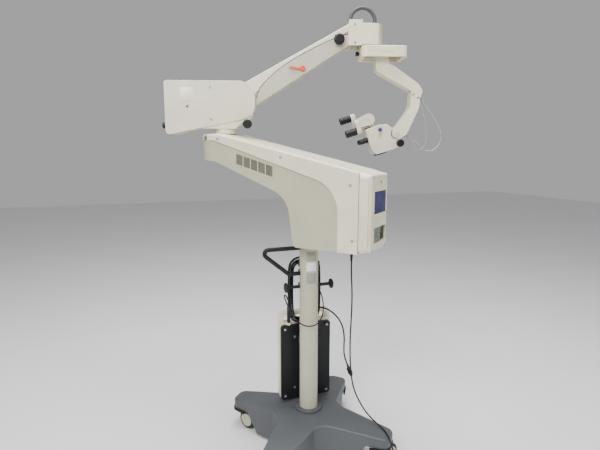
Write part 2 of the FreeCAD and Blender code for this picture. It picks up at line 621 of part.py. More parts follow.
spring_cover.pocket("XZ", [[("80", "-60"), ("end_r + arm_length + 9", "-60"),
                            ("end_r + arm_length + 9", "20"), ("end_r + arm_length - 6", "20"),
                            ("end_r + arm_length - 6", "end_r - 4", "18"), ("80", "root_r - 8")]],
                    "2*(arm_side - 3) + 2*running", both=True)

# Gas spring in the channel, an eye at each end on a cross pin between the channel's walls
gas = Piece("gas_spring", home(SPRING, z="gas_z"))
gas.revolve("XZ", [[("gas_start", "0"), ("gas_start", "gas_rod_r"), ("gas_start + 20", "gas_rod_r"),
                    ("gas_start + 20", "gas_r", "3"), ("gas_start + gas_tube", "gas_r", "3"),
                    ("gas_start + gas_tube", "gas_rod_r"), ("gas_end", "gas_rod_r"),
                    ("gas_end", "0")]], axis="H_Axis", shift=("0", "0"))
gas.pad("XZ", [circle("gas_start", "0", "gas_pin_r + 6"), circle("gas_end", "0", "gas_pin_r + 6")],
        "gas_eye", both=True)
gas.pad("XZ", [circle("gas_start", "0", "gas_pin_r"), circle("gas_end", "0", "gas_pin_r")],
        "2*(arm_side - 9)", both=True)

knob = Piece("balance_knob", home(SPRING, x="arm_length - 72", z="2", about=(1, 0, 0), turn="90"))
knob.revolve("XZ", [[("0", "arm_side - 3"), ("8", "arm_side - 3"), ("8", "arm_side + 8", "1"),
                     ("26", "arm_side + 6", "8"), ("26", "arm_side + 30", "9"),
                     ("0", "arm_side + 30")]])
lever = Piece("lock_lever", home(SPRING, x="352", z="-24", about=(1, 0, 0), turn="90"))
lever.revolve("XZ", [[("0", "arm_side - 3 + running"), ("13", "arm_side - 3 + running"),
                      ("13", "arm_side + 10", "2"), ("0", "arm_side + 10")]])
lever.pad("XY", [[("-10", "-4", "3"), ("-8", "6", "5"), ("-52", "40", "4"), ("-56", "33", "4")]],
          "7", at="arm_side + 3")

# End block keeps level at the arm's end and carries the vertical bearing
END = home(SPRING, x="arm_length", about=(0, 1, 0), turn="rise")
end_block = Piece("end_block", END)
end_block.pad("XY", [[("end_r + 4", "-arm_side - cheek_thick"),
                      ("axis_x + arm_side + cheek_thick", "-arm_side - cheek_thick",
                       "arm_side + cheek_thick - 1"),
                      ("axis_x + arm_side + cheek_thick", "arm_side + cheek_thick",
                       "arm_side + cheek_thick - 1"),
                      ("end_r + 4", "arm_side + cheek_thick")]],
              "bearing_high - bearing_low", at="bearing_low")
end_block.fillet("3", lambda edge: flat_at(edge, "Z", "bearing_high"))
cheek = end_block.pad("XZ", [[("-19", "cheek_low", "3"), ("-17", "cheek_high", "3"),
                              ("end_r + 9", "cheek_high", "3"), ("end_r + 9", "cheek_low", "3")]], "cheek_thick", at="arm_side + play")
end_block.mirror([cheek], "XZ")
end_block.pad("XZ", [circle("0", "0", "end_pin_r")], "2*arm_side + 6", both=True)
end_block.pad("XZ", [box("-13", "12", "hose_bridge_low", "cheek_high")], "2*arm_side + 6", both=True)
end_block.pocket("XY", [circle("axis_x", "0", "axis_pin_r + bore_play")], "50", at="bearing_low - 1",
                 flip=True)

# X-Y unit: rounded housing that turns on the vertical axis, with a cross slide under it
XY = home(END, x="axis_x")
xy = Piece("xy_housing", XY)
xy.pad("XY", [box("xy_left", "xy_right", "-xy_half", "xy_half", "28")], "xy_top - xy_low",
       at="xy_low")
xy.fillet("6", lambda edge: flat_at(edge, "Z", "xy_top"))
stem_mid = "(stem_left + stem_right)/2"
xy.pocket("XY", [box("%s - 90" % stem_mid, "%s + 90" % stem_mid, "-slide_half - play", "slide_half + play", "8")],
          "slide_deep", at="xy_low", flip=True)
xy.pad("XY", [circle("0", "0", "stem_r")], "bearing_low - running - xy_top + 1", at="xy_top - 1")
xy.pad("XY", [circle("0", "0", "axis_pin_r")], "40", at="xy_top - 1")
slide = Piece("xy_slide", home(XY, x=stem_mid))
slide.pad("XY", [box("-slide_long", "slide_long", "-slide_half", "slide_half", "6")], "slide_thick",
          at="xy_low + slide_deep - play - slide_thick")

# C-shaped carrier: two castings bolted at a mitre
band = Piece("c_arm_upper", XY)
band.pad("XZ", [[("stem_left", "xy_low + 12"), ("stem_left", "-172", "34"), ("mitre_in_x", "mitre_in_z"),
                 ("mitre_out_x", "mitre_out_z"), ("262", "-266", "10"), ("240", "-232", "26"),
                 ("120", "-151", "40"), ("stem_right", "-137", "6"),
                 ("stem_right", "xy_low + 12")]], "2*band_half", both=True)
band.pad("XY", [box("stem_left - 4", "stem_right + 4", "-34", "34", "4")], "flange_thick",
         at="xy_low + slide_deep - 2*play - slide_thick - flange_thick")
lower = Piece("c_arm_lower", XY)
lower.pad("XZ", [[("mitre_in_x - 0.2", "mitre_in_z - play"), ("200", "-350", "90"), ("140", "-434", "40"),
                  ("112", "-450", "6"), ("112", "-486", "20"), ("150", "-500", "14"),
                  ("188", "-480", "16"), ("248", "-345", "120"), ("mitre_out_x - 0.2", "mitre_out_z - play")]],
          "2*band_half", both=True)

# The microscope hangs in the fork at the arm's lower end and tilts about a level axis
lower.pocket("XZ", [circle("tilt_x", "tilt_z", "ear_r + 5")], "2*ear_slot", both=True)
lower.pocket("XZ", [[("tilt_x", "tilt_z + ear_r + 15"), ("tilt_x - 60", "tilt_z + ear_r + 15"),
                     ("tilt_x - 60", "tilt_z - ear_r - 2"), ("tilt_x", "tilt_z - ear_r - 2")]],
             "2*ear_slot", both=True)
lower.pad("XZ", [circle("tilt_x", "tilt_z", "tilt_pin_r")], "2*ear_slot + 8", both=True)
SCOPE = home(XY, x="tilt_x", z="tilt_z", about=(0, 1, 0), turn="-scope_tilt")
body = Piece("scope_body", SCOPE)
body.pad("XZ", [[("-152", "-9"), ("-150", "67", "5"), ("-82", "70", "4"), ("-40", "62", "8"),
                 ("-14", "26", "10"), ("4", "-9")]], "2*scope_half", both=True)
body.fillet("6", lambda edge: abs(abs(edge.BoundBox.YMin) - val("scope_half")) < 0.01
            and abs(edge.BoundBox.YMax - edge.BoundBox.YMin) < 0.01
            and edge.BoundBox.ZMin > -8)
ear = body.pocket("XZ", [circle("0", "0", "ear_r + 10")], "60", at="ear_slot - play", flip=True)
body.mirror([ear], "XZ")
body.pad("XZ", [circle("0", "0", "ear_r - 1")], "2*(ear_slot - play)", both=True)
body.pocket("XZ", [circle("0", "0", "tilt_pin_r + bore_play")], "80", both=True)
housing = Piece("scope_housing", SCOPE)
housing.pad("XZ", [[("-151.7", "-9.2"), ("-149", "-42", "10"), ("-134", "head_bottom", "10"),
                    ("6", "head_bottom", "8"), ("6", "-9.2")]], "2*lower_half", both=True)
ear = housing.pocket("XZ", [circle("0", "0", "ear_r + 10")], "60", at="ear_slot - play",
                     flip=True)
housing.mirror([ear], "XZ")
housing.pocket("XZ", [circle("0", "0", "ear_r")], "80", both=True)
housing.pocket("XY", [circle("objective_x", "0", "barrel_r + running")], "16",
               at="head_bottom - 1", flip=True)
objective = Piece("objective_lens", home(SCOPE, x="objective_x", z="head_bottom"))
objective.revolve("XZ", [[("0", "4"), ("26", "2"), ("30", "-rim_high"),
                          ("objective_d/2", "-rim_high", "1.5"), ("objective_d/2", "-running"),
                          ("barrel_r", "-running"), ("barrel_r", "13"), ("0", "13")]])
knob = Piece("tilt_knob", home(SCOPE, x="-8", z="-47.8", about=(1, 0, 0), turn="90"))
knob.revolve("XZ", [[("0", "lower_half + running"), ("9", "lower_half + running"),
                     ("9", "lower_half + 3"),
                     ("18.5", "lower_half + 3", "3"), ("18.5", "lower_half + 24", "4"),
                     ("0", "lower_half + 24")]])
grips = Piece("hand_grips", home(SCOPE, x="-152.2", z="14", about=(0, 1, 0), turn="-90"))
grip = grips.revolve("XZ", [[("0", "0"), ("15", "0"), ("12", "8"), ("12", "42", "5"),
                             ("0", "42")]], shift=("0", "0"), at="30")
grips.mirror([grip], "XZ")

# Binocular tube: a flange with a knuckle, and a tilting head for the two eyepiece carriers
tube_base = Piece("tube_base", SCOPE)
tube_base.pad("XY", [circle("flange_x", "0", "flange_d/2")], "5", at="70 + running")
tube_base.pad("XZ", [[("knuckle_x - 14", "74"), ("knuckle_x - 14", "knuckle_z"),
                      ("knuckle_x + 14", "knuckle_z"), ("knuckle_x + 14", "74")]],
              "2*knuckle_half", both=True)
tube_base.pad("XZ", [circle("knuckle_x", "knuckle_z", "knuckle_r")], "2*knuckle_half", both=True)
tube_head = Piece("tube_head", SCOPE)
tube_head.pad("XZ", [[("knuckle_x", "knuckle_z - knuckle_r + 1"), ("carrier_x", "carrier_z - 22", "8"),
                      ("carrier_x", "carrier_z + 24", "10"),
                      ("knuckle_x", "knuckle_z + knuckle_r - 1", "20")]], "2*tube_half + 30", both=True)
ear = tube_head.pad("XZ", [circle("knuckle_x", "knuckle_z", "knuckle_r")], "tube_half - knuckle_half",
                    at="knuckle_half + play")
tube_head.mirror([ear], "XZ")
tube_head.pocket("XZ", [circle("knuckle_x", "knuckle_z", "knuckle_r + 3")],
                 "2*(knuckle_half + play)", both=True)
tube_head.pocket("YZ", [circle("-carrier_apart", "carrier_z", "pivot_r + bore_play"),
                        circle("carrier_apart", "carrier_z", "pivot_r + bore_play")],
                 "pivot_deep + 1", at="carrier_x", flip=True)
for name, side, swing_turn in (("right", -1, 180), ("left", 1, 0)):
    seat = home(SCOPE, x="carrier_x", y="%d*carrier_apart" % side, z="carrier_z",
                about=(0, 1, 0), turn="-90")
    # in the seat's frame +Z points to the eye, and +X along the carrier: one down, one up
    seat = seat * Placement(Vector(), Rotation(Vector(0, 0, 1), swing_turn))
    carrier = Piece("eyepiece_carrier_" + name, seat)
    carrier.pad("XY", [box("-20", "swing + 20", "-20", "20", "19")], "22", at="play")
    carrier.pad("XY", [circle("0", "0", "pivot_r")], "pivot_deep + 2", at="-pivot_deep")
    carrier.pocket("XY", [circle("swing", "0", "13 + running")], "12", at="24", flip=False)
    eyepiece = Piece("eyepiece_" + name, seat * Placement(vec("swing"), Rotation()))
    eyepiece.revolve("XZ", [[("0", "13"), ("13", "13"), ("13", "24"), ("eyepiece_d/2", "24"),
                             ("eyepiece_d/2", "78", "3"), ("14", "80"), ("12", "72"), ("0", "71")]])

# Brackets clamped round the column: cable hooks, a peg for the hank, and the panel's hanger
def clamp(piece, z):
    """A ring that grips the column."""
    piece.pad("XY", [circle("0", "0", "column_d/2 + ring_wall"), circle("0", "0", "column_d/2")],
              "ring_high", at="%s - ring_high/2" % z)


handle = Piece("transport_handle", FLOOR)
handle.pipe("XZ", [("-column_d/2 - 2", "handle_high"), ("-handle_reach", "handle_high", "18"),
                   ("-100", "handle_low", "24"), ("-column_d/2 - 2", "handle_low")],
            "YZ", circle("0", "handle_high", "handle_d/2"), "-column_d/2 - 2")
clamp(handle, "handle_high")
clamp(handle, "handle_low")

brackets = Piece("column_brackets", FLOOR)
clamp(brackets, "hook_z")
stud = brackets.revolve("XZ", [[("column_d/2 + 3", "0"), ("column_d/2 + 3", "hook_d/2"),
                                ("hook_reach", "hook_d/2"), ("hook_reach", "disc_d/2 - 6"),
                                ("hook_reach + 4", "disc_d/2", "3"),
                                ("hook_reach + 13", "disc_d/2 - 3", "5"),
                                ("hook_reach + 13", "0")]], axis="H_Axis", shift=("0", "hook_z"))
brackets.mirror([stud], "YZ")
clamp(brackets, "hook_z + 106")
brackets.pad("XZ", [circle("0", "hook_z + 93", "7")], "36", at="-column_d/2 - 38")
brackets.pad("XZ", [circle("0", "hook_z + 93", "14")], "4", at="-column_d/2 - 42")
clamp(brackets, "panel_z + 340")
brackets.pad("XZ", [box("-24", "24", "panel_z + 328", "panel_z + 352", "4")],
             "plate_back - panel_plate - column_d/2 - 3", at="panel_plate - plate_back")

# The foot control hangs behind the column, its underside plate to the front
PANEL = home(FLOOR, x="panel_x", y="plate_back", z="panel_z")
plate = Piece("foot_panel_plate", PANEL)
plate.pad("XZ", [box("-plate_half", "plate_half", "0", "plate_high", "16")], "panel_plate", at="0")
foot = plate.pad("XZ", [circle(x, z, "13") for x in ("20 - plate_half", "plate_half - 20")
                        for z in ("20", "plate_high - 20")], "6", at="panel_plate - 1")
plate.pad("XY", [circle("gland_x", "-8.5", "8")], "100", at="plate_high - 4")
shell = Piece("foot_panel_shell", PANEL)
shell.pad("XZ", [box("-panel_half", "panel_half", "2", "panel_high", "22")], "shell_deep",
          at="-shell_deep")
shell.fillet("8", lambda edge: flat_at(edge, "Y", "shell_deep"))
shell.pocket("XZ", [box("8 - panel_half", "panel_half - 8", "10", "plate_high - 8", "14")],
             "shell_deep - 6", at="0")
shell.pocket("XZ", [box("18 - panel_half", "panel_half - 18", "slot_low", "slot_high", "10")],
             "3*shell_deep", both=True)
shell.pocket("XZ", [box("-32", "32", "180", "280", "2")], "30", at="-shell_deep - 5",
             flip=True)
shell.pad("XZ", [box("-44", "-32.5", "218", "242")], "30", at="-shell_deep + 2")
shell.pad("XZ", [box("32.5", "44", "218", "242")], "30", at="-shell_deep + 2")
shell.pocket("YZ", [circle("shell_deep - 12", "230", "3.1")], "100", both=True)
rocker = Piece("zoom_rocker", home(PANEL, y="shell_deep - 12", z="230"))
rocker.pad("YZ", [[("-8", "-10", "4"), ("-8", "10", "4"), ("6", "47", "3"), ("15", "46", "3"),
                   ("7", "0", "60"), ("15", "-46", "3"), ("6", "-47", "3")]], "63", both=True)
rocker.pad("YZ", [circle("0", "0", "3")], "86", both=True)

# Stowed cables: a hank behind the column, and the leads that leave it
hank = Piece("cable_hank", FLOOR)
hank.pad("XZ", [box("-84", "84", "607", "940", "66"), box("-58", "58", "633", "912", "40")],
         "27", at="-78")
hank.fillet("9", lambda edge: flat_at(edge, "Y", "51") or flat_at(edge, "Y", "78"))
tube("foot_cable", [(-73, 88.5, 688), (-73, 88.5, 716), (-87, 84, 746), (-104, 60, 760),
                    (-112, 26, 752), (-107, -4, 724), (-94, -28, 690), (-72, -48, 656),
                    (-38, -62, 636), (6, -66, 634), (44, -54, 656), (66, -28, 700), (74, 8, 742),
                    (73, 40, 768), (71, 60, 780)], "6")
tube("plug_lead", [(70, 64, 676), (92, 62, 674), (122, 58, 662), (152, 54, 640), (182, 50, 606),
                   (204, 50, 562), (214, 50, 508), (212, 50, 452), (214, 50, 400),
                   (232, 50, 354)], "8")
lead_end = Vector(232, 50, 354)
lead_way = Vector(18, 0, -46)
lead_plug = Piece("lead_plug", Placement(lead_end, Rotation(Vector(0, 0, 1), lead_way)))
lead_plug.revolve("XZ", [[("0", "0"), ("4.5", "0"), ("7", "22"), ("12", "26", "3"),
                          ("12", "58", "2"), ("9", "58"), ("9", "70", "1"), ("0", "70")]])

# The mains lead hangs from the housing, crosses a leg and ends in a coil on the floor
tube("floor_cable", [(150, -145, 996), (150, -145, 904), (156, -147, 804), (155, -147, 704),
                     (151, -145, 604), (151, -146, 504), (156, -148, 414), (168, -152, 340),
                     (196, -162, 268), (232, -180, 206), (264, -214, 173), (279, -266, 164),
                     (271, -318, 160), (262, -362, 142), (260, -398, 96), (258, -434, 42),
                     (252, -480, 8), (238, -530, 5), (226, -570, 5), (223, -598, 5)], "7")
floor_coil = Piece("floor_coil", Placement(Vector(180, -606, 1), Rotation()))
floor_coil.revolve("XZ", [box("27", "47", "0", "17", "7")])
mains_plug = Piece("mains_plug", Placement(Vector(180, -606, 18.3), Rotation()))
mains_plug.pad("XY", [[("-18", "-20", "6"), ("18", "-20", "6"), ("16", "18", "8"),
                       ("-16", "18", "8")]], "24", at="0")
mains_plug.fillet("4", lambda edge: flat_at(edge, "Z", "24"))
mains_plug.pad("XZ", [circle("-9.5", "12", "2.4"), circle("9.5", "12", "2.4")], "19", at="19")

# Cables on the suspension
tube("scope_cable", [(178, 0, -481.4), (211, 0, -486), (240, 0, -512), (270, 0, -542),
                     (298, 0, -561), (332, 0, -561), (360, 0, -540), (376, 0, -508),
                     (374, 0, -470), (358, 0, -432), (334, 0, -396), (309, 0, -362),
                     (284, 0, -330), (262, 0, -299), (248, 0, -278)], "9", XY)
tube("grey_hose", [(-2, 0, 54), (-2, 0, 82), (14, 0, 110), (42, 0, 126), (74, 0, 126),
                   (102, 0, 110), (118, 0, 82), (119.5, 0, 60), (118, 0, 39)], "18", END)
doc.recompute()

pieces = [o for o in doc.Objects if o.TypeId in ("PartDesign::Body", "Part::Feature")]
for thing in doc.Objects:
    if "Invalid" in thing.State or "Error" in thing.State:
        raise RuntimeError("%s failed: %s" % (thing.Label, thing.State))
for piece in pieces:
    if piece.Shape.isNull() or not piece.Shape.isValid():
        raise RuntimeError("%s has no valid shape" % piece.Label)

os.makedirs("parts", exist_ok=True)
for piece in pieces:
    piece.Shape.exportStep("parts/%s.step" % piece.Label)
    print(piece.Label, len(piece.Shape.Solids), "%.0f mm3" % piece.Shape.Volume)
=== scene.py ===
# %% [markdown]
# # A surgical microscope on its floor stand
# The CAD model brings every rigid piece at its real size. This script gives those pieces their
# finishes, replaces the plain cable solids by smooth cables, and adds the small fittings.
# Blender works in metres here, with the origin on the floor under the column. The sizes below
# are written in millimetres, as a workshop drawing would have them, and scaled where they are
# used.

# %% The frame
import json
import math
import bmesh
import bpy
from mathutils import Matrix, Vector


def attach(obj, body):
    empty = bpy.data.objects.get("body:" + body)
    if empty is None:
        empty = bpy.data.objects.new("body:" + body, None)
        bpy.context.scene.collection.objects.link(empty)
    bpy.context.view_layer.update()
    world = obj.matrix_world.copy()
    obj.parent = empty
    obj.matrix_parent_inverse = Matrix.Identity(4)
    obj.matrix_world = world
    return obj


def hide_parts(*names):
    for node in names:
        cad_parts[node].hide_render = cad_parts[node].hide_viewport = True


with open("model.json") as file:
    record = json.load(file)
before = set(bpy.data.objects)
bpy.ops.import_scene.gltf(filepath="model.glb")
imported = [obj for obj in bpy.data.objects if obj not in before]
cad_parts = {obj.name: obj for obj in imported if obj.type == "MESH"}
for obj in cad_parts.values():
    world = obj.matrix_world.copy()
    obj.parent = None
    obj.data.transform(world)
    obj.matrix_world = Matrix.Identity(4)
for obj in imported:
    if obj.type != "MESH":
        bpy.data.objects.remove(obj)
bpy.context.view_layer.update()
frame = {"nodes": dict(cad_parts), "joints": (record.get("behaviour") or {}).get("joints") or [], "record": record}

# %% [markdown]
# Each arm of the stand is drawn straight in its own frame, and the frames follow one another
# from joint to joint. A fitting is then placed by the numbers that a designer would use, along
# the arm, across it and up. The frames are set by the numbers below, and the tilt axis is
# printed beside the one in the imported record.

# %% Frames of the arms
joints = {joint["name"]: joint for joint in frame["joints"]}
MM = 0.001


def turned(base, degrees, axis, x=0.0, y=0.0, z=0.0):
    """A frame inside another: moved in millimetres, then turned about an axis."""
    return base @ Matrix.Translation(Vector((x, y, z)) * MM) @ Matrix.Rotation(
        math.radians(degrees), 4, axis)


ARM_YAW, HEAD_TURN, ARM_RISE, SCOPE_TILT = 131.7, -148.2, 30.46, 18.0
PIVOT_REACH, HINGE_X, HINGE_Z = 470, 65, 1679
ARM_LENGTH, XY_REACH = 641.5, 100
TILT_X, TILT_Z = 140, -474
FLOOR = Matrix.Identity(4)
ARM = turned(FLOOR, ARM_YAW, "Z")
HEAD = turned(ARM, HEAD_TURN, "Z", x=PIVOT_REACH)
SPRING = turned(HEAD, -ARM_RISE, "Y", x=HINGE_X, z=HINGE_Z)
END = turned(SPRING, ARM_RISE, "Y", x=ARM_LENGTH)
XY = turned(END, 0, "Z", x=XY_REACH)
SCOPE = turned(XY, -SCOPE_TILT, "Y", x=TILT_X, z=TILT_Z)
print("tilt axis", [round(v, 3) for v in SCOPE.translation],
      "in the record", joints["scope_tilt"]["pos_m"])

# %% [markdown]
# ## Finishes
# Painted castings, moulded covers and rubber differ in three things: how much the colour
# varies, how rough the surface is, and how fine its grain is. Each could be a picture wrapped
# round the piece, but noise worked out in object space needs no unwrapping and has no seams.
# One helper builds the three layers, and each finish is one call with its own numbers. The
# Bevel node rounds the light on every edge, because no real casting has a knife edge, and the
# same node finds the edges where paint wears thin.

# %% Node helpers
def new_material(name):
    """An empty node material, with its tree's parts at hand."""
    material = bpy.data.materials.new(name)
    material.use_nodes = True
    nodes = material.node_tree.nodes
    return material, nodes, material.node_tree.links, nodes["Principled BSDF"]


def noise(nodes, links, scale, detail=3.0, stretch=(1, 1, 1)):
    """Noise in object space, stretched along an axis if asked."""
    coordinates = nodes.new("ShaderNodeTexCoord")
    mapping = nodes.new("ShaderNodeMapping")
    mapping.inputs["Scale"].default_value = stretch
    texture = nodes.new("ShaderNodeTexNoise")
    texture.inputs["Scale"].default_value = scale
    texture.inputs["Detail"].default_value = detail
    links.new(coordinates.outputs["Object"], mapping.inputs["Vector"])
    links.new(mapping.outputs["Vector"], texture.inputs["Vector"])
    return texture.outputs["Fac"]


def ramp(nodes, links, source, stops):
    """A colour ramp with its own stops, each a place and a colour."""
    node = nodes.new("ShaderNodeValToRGB")
    while len(node.color_ramp.elements) < len(stops):
        node.color_ramp.elements.new(0.5)
    for element, (place, colour) in zip(node.color_ramp.elements, stops):
        element.position = place
        element.color = (*colour, 1.0)
    links.new(source, node.inputs["Fac"])
    return node.outputs["Color"]


def shade(colour, factor):
    """A colour made lighter or darker, and never brighter than white."""
    return tuple(min(1.0, channel * factor) for channel in colour)


def edge_mask(nodes, links, radius):
    """White on edges: the rounded normal differs there from the flat one."""
    bevel = nodes.new("ShaderNodeBevel")
    bevel.inputs["Radius"].default_value = radius
    geometry = nodes.new("ShaderNodeNewGeometry")
    dot = nodes.new("ShaderNodeVectorMath")
    dot.operation = "DOT_PRODUCT"
    links.new(bevel.outputs["Normal"], dot.inputs[0])
    links.new(geometry.outputs["Normal"], dot.inputs[1])
    return dot.outputs["Value"]


WEAR_RADIUS, ROUGH_SPREAD, GRAIN_DEEP = 0.003, 0.07, 0.0005


def finish(name, colour, roughness, grain=900.0, bump=0.06, spread=0.06, patch=9.0,
           metallic=0.0, coat=0.0, wear=None, stretch=(1, 1, 1), rounding=0.0008, gloss=0.5):
    """A surface of one colour with cloudy variation, fine grain and softened edges."""
    material, nodes, links, shader = new_material(name)
    clouds = noise(nodes, links, patch, 4.0, stretch)
    base_colour = ramp(nodes, links, clouds, [(0.30, shade(colour, 1 - spread)),
                                              (0.70, shade(colour, 1 + spread))])
    if wear:
        mask = ramp(nodes, links, edge_mask(nodes, links, WEAR_RADIUS),
                    [(0.86, (1, 1, 1)), (0.99, (0, 0, 0))])
        mix = nodes.new("ShaderNodeMix")
        mix.data_type = "RGBA"
        mix.inputs["B"].default_value = (*wear, 1.0)
        links.new(mask, mix.inputs["Factor"])
        links.new(base_colour, mix.inputs["A"])
        base_colour = mix.outputs["Result"]
    links.new(base_colour, shader.inputs["Base Color"])
    rough = nodes.new("ShaderNodeMapRange")
    rough.inputs["To Min"].default_value = max(0.05, roughness - ROUGH_SPREAD)
    rough.inputs["To Max"].default_value = min(1.0, roughness + ROUGH_SPREAD)
    fine = noise(nodes, links, grain, 2.0, stretch)
    links.new(fine, rough.inputs["Value"])
    links.new(rough.outputs["Result"], shader.inputs["Roughness"])
    bevel = nodes.new("ShaderNodeBevel")
    bevel.inputs["Radius"].default_value = rounding
    relief = nodes.new("ShaderNodeBump")
    relief.inputs["Strength"].default_value = bump
    relief.inputs["Distance"].default_value = GRAIN_DEEP
    links.new(fine, relief.inputs["Height"])
    links.new(bevel.outputs["Normal"], relief.inputs["Normal"])
    links.new(relief.outputs["Normal"], shader.inputs["Normal"])
    shader.inputs["Metallic"].default_value = metallic
    shader.inputs["Coat Weight"].default_value = coat
    shader.inputs["Coat Roughness"].default_value = 0.25
    shader.inputs["Specular IOR Level"].default_value = gloss
    return material


# %% [markdown]
# The covers are cream-white enamel, the castings under them a greener grey-beige, and the
# side plates of the head a warmer grey. The base moulding is dark grey with pale, rubbed
# edges. Everything that a hand takes hold of is black. Black plastic is never quite black, and
# a lower gloss keeps the softboxes from turning it grey. The names on the left are the material
# slots of the CAD record.

# %% Paints and mouldings
CREAM = (0.76, 0.715, 0.535)
GREY_BEIGE = (0.46, 0.45, 0.325)
paints = {
    "cream_paint": finish("cream enamel", CREAM, 0.34, coat=0.15),
    "stand_paint": finish("grey-beige enamel", GREY_BEIGE, 0.40, coat=0.10),
    "plate_paint": finish("warm cream enamel", (0.70, 0.645, 0.52), 0.42, coat=0.08),
    "scope_paint": finish("light grey enamel", (0.66, 0.62, 0.50), 0.36, coat=0.12),
    "base_grey": finish("dark grey moulding", (0.075, 0.080, 0.088), 0.52, grain=1400,
                        bump=0.18, spread=0.10, patch=6.0, wear=(0.30, 0.30, 0.28)),
    "cast_metal": finish("painted casting", (0.03, 0.03, 0.033), 0.65, grain=500, bump=0.3,
                         gloss=0.3),
    "black_rubber": finish("black rubber", (0.006, 0.006, 0.007), 0.60, grain=1100, bump=0.12,
                           gloss=0.30),
    "black_metal": finish("black powder coat", (0.008, 0.009, 0.010), 0.46, grain=1600,
                          bump=0.16, wear=(0.05, 0.05, 0.05), gloss=0.30),
    "black_plastic": finish("black moulding", (0.006, 0.006, 0.007), 0.42, grain=1300,
                            bump=0.10, gloss=0.35),
    "black_cable": finish("black cable sheath", (0.006, 0.006, 0.007), 0.50, bump=0.04,
                          gloss=0.35),
    "grey_cable": finish("grey hose", (0.060, 0.066, 0.070), 0.50, spread=0.08, gloss=0.4),
    "pale_cable": finish("pale grey sheath", (0.30, 0.30, 0.27), 0.42, spread=0.04),
    "module_grey": finish("grey module", (0.16, 0.165, 0.165), 0.48),
    "orange_plastic": finish("orange-red moulding", (0.72, 0.10, 0.02), 0.36, spread=0.05),
    "steel": finish("ground steel", (0.56, 0.56, 0.57), 0.28, metallic=1.0, patch=4.0,
                    stretch=(1, 12, 1)),
    "castor_grey": finish("castor moulding", (0.36, 0.37, 0.34), 0.48, spread=0.08),
    "tyre": finish("castor tread", (0.016, 0.016, 0.017), 0.62, grain=800, bump=0.2, gloss=0.3),
}
panel_paint = finish("side plate enamel", (0.50, 0.465, 0.385), 0.42, coat=0.06)
label_grey = finish("bare label, grey", (0.30, 0.295, 0.24), 0.45, spread=0.10, patch=60)
label_white = finish("bare label, white", (0.78, 0.79, 0.80), 0.40, spread=0.03)
brass = finish("brass", (0.62, 0.42, 0.13), 0.30, metallic=1.0)
zinc = finish("zinc-plated steel", (0.50, 0.50, 0.50), 0.32, metallic=1.0)
blue_knob = finish("dark blue moulding", (0.015, 0.03, 0.12), 0.35)
print(len(paints), "finishes")

# %% [markdown]
# The display is a dark window with a faint glow, and the objective is coated glass. Both are
# smooth, so they get their own small node trees: a graded colour for the one, and for the other
# a painted reflection, the violet sheen of the coating, that grows towards the rim.

# %% Display and lens
def display_material():
    """A dark blue window that glows faintly, a little brighter in places."""
    material, nodes, links, shader = new_material("display window")
    glow = ramp(nodes, links, noise(nodes, links, 22.0, 1.0),
                [(0.35, (0.014, 0.018, 0.075)), (0.65, (0.026, 0.032, 0.12))])
    links.new(glow, shader.inputs["Base Color"])
    links.new(glow, shader.inputs["Emission Color"])
    shader.inputs["Emission Strength"].default_value = 0.12
    shader.inputs["Roughness"].default_value = 0.15
    shader.inputs["Specular IOR Level"].default_value = 0.2
    return material


def lens_material():
    """Dark glass with a painted violet reflection of its coating, stronger where it is seen at a slant."""
    material, nodes, links, shader = new_material("coated lens")
    rim = nodes.new("ShaderNodeLayerWeight")
    rim.inputs["Blend"].default_value = 0.35
    # Painted reflection: the coating's violet sheen, set into the base colour by the facing angle.
    painted_sheen = ramp(nodes, links, rim.outputs["Facing"],
                [(0.2, (0.012, 0.012, 0.016)), (0.9, (0.10, 0.04, 0.14))])
    links.new(painted_sheen, shader.inputs["Base Color"])
    shader.inputs["Roughness"].default_value = 0.10
    shader.inputs["Coat Weight"].default_value = 0.6
    return material


paints["display"] = display_material()
paints["lens_glass"] = lens_material()
print("display and lens added:", len(paints), "finishes")

# %% [markdown]
# The block at the spring arm's end is one casting in two paints: grey-beige all round, with
# cream cheeks. Its mask is a plain question in object space, how far a point lies to either
# side of the head's middle plane, so the paint stays on the block when it moves.

# %% Two-tone block
def two_tone(name, inner, outer, roughness, across, origin, half):
    """One paint within a distance of a plane and another paint beyond it."""
    material = finish(name, inner, roughness, coat=0.10)
    nodes, links = material.node_tree.nodes, material.node_tree.links
    shader = nodes["Principled BSDF"]
    coordinates = nodes.new("ShaderNodeTexCoord")
    from_plane = nodes.new("ShaderNodeVectorMath")
    from_plane.operation = "SUBTRACT"
    from_plane.inputs[1].default_value = origin
    along = nodes.new("ShaderNodeVectorMath")
    along.operation = "DOT_PRODUCT"
    along.inputs[1].default_value = across
    links.new(coordinates.outputs["Object"], from_plane.inputs[0])
    links.new(from_plane.outputs["Vector"], along.inputs[0])
    distance = nodes.new("ShaderNodeMath")
    distance.operation = "ABSOLUTE"
    beyond = nodes.new("ShaderNodeMath")
    beyond.operation = "GREATER_THAN"
    beyond.inputs[1].default_value = half
    links.new(along.outputs["Value"], distance.inputs[0])
    links.new(distance.outputs["Value"], beyond.inputs[0])
    mix = nodes.new("ShaderNodeMix")
    mix.data_type = "RGBA"
    mix.inputs["B"].default_value = (*outer, 1.0)
    links.new(beyond.outputs["Value"], mix.inputs["Factor"])
    links.new(shader.inputs["Base Color"].links[0].from_socket, mix.inputs["A"])
    links.new(mix.outputs["Result"], shader.inputs["Base Color"])
    return material


CHEEK_FROM = 0.0479
block_paint = two_tone("block enamel", GREY_BEIGE, CREAM, 0.38, END.col[1].xyz, END.translation,
                       CHEEK_FROM)
print("cheeks start", CHEEK_FROM, "m from the middle")

# %% [markdown]
# The record names a material slot for every node, so one loop dresses the whole stand. Doing it
# by hand for each piece would take as many lines as there are pieces, and one would be
# forgotten. Two pieces then get another finish than their slot says: the block its two paints,
# and the collar at the column's foot the grey of the cover that it closes.

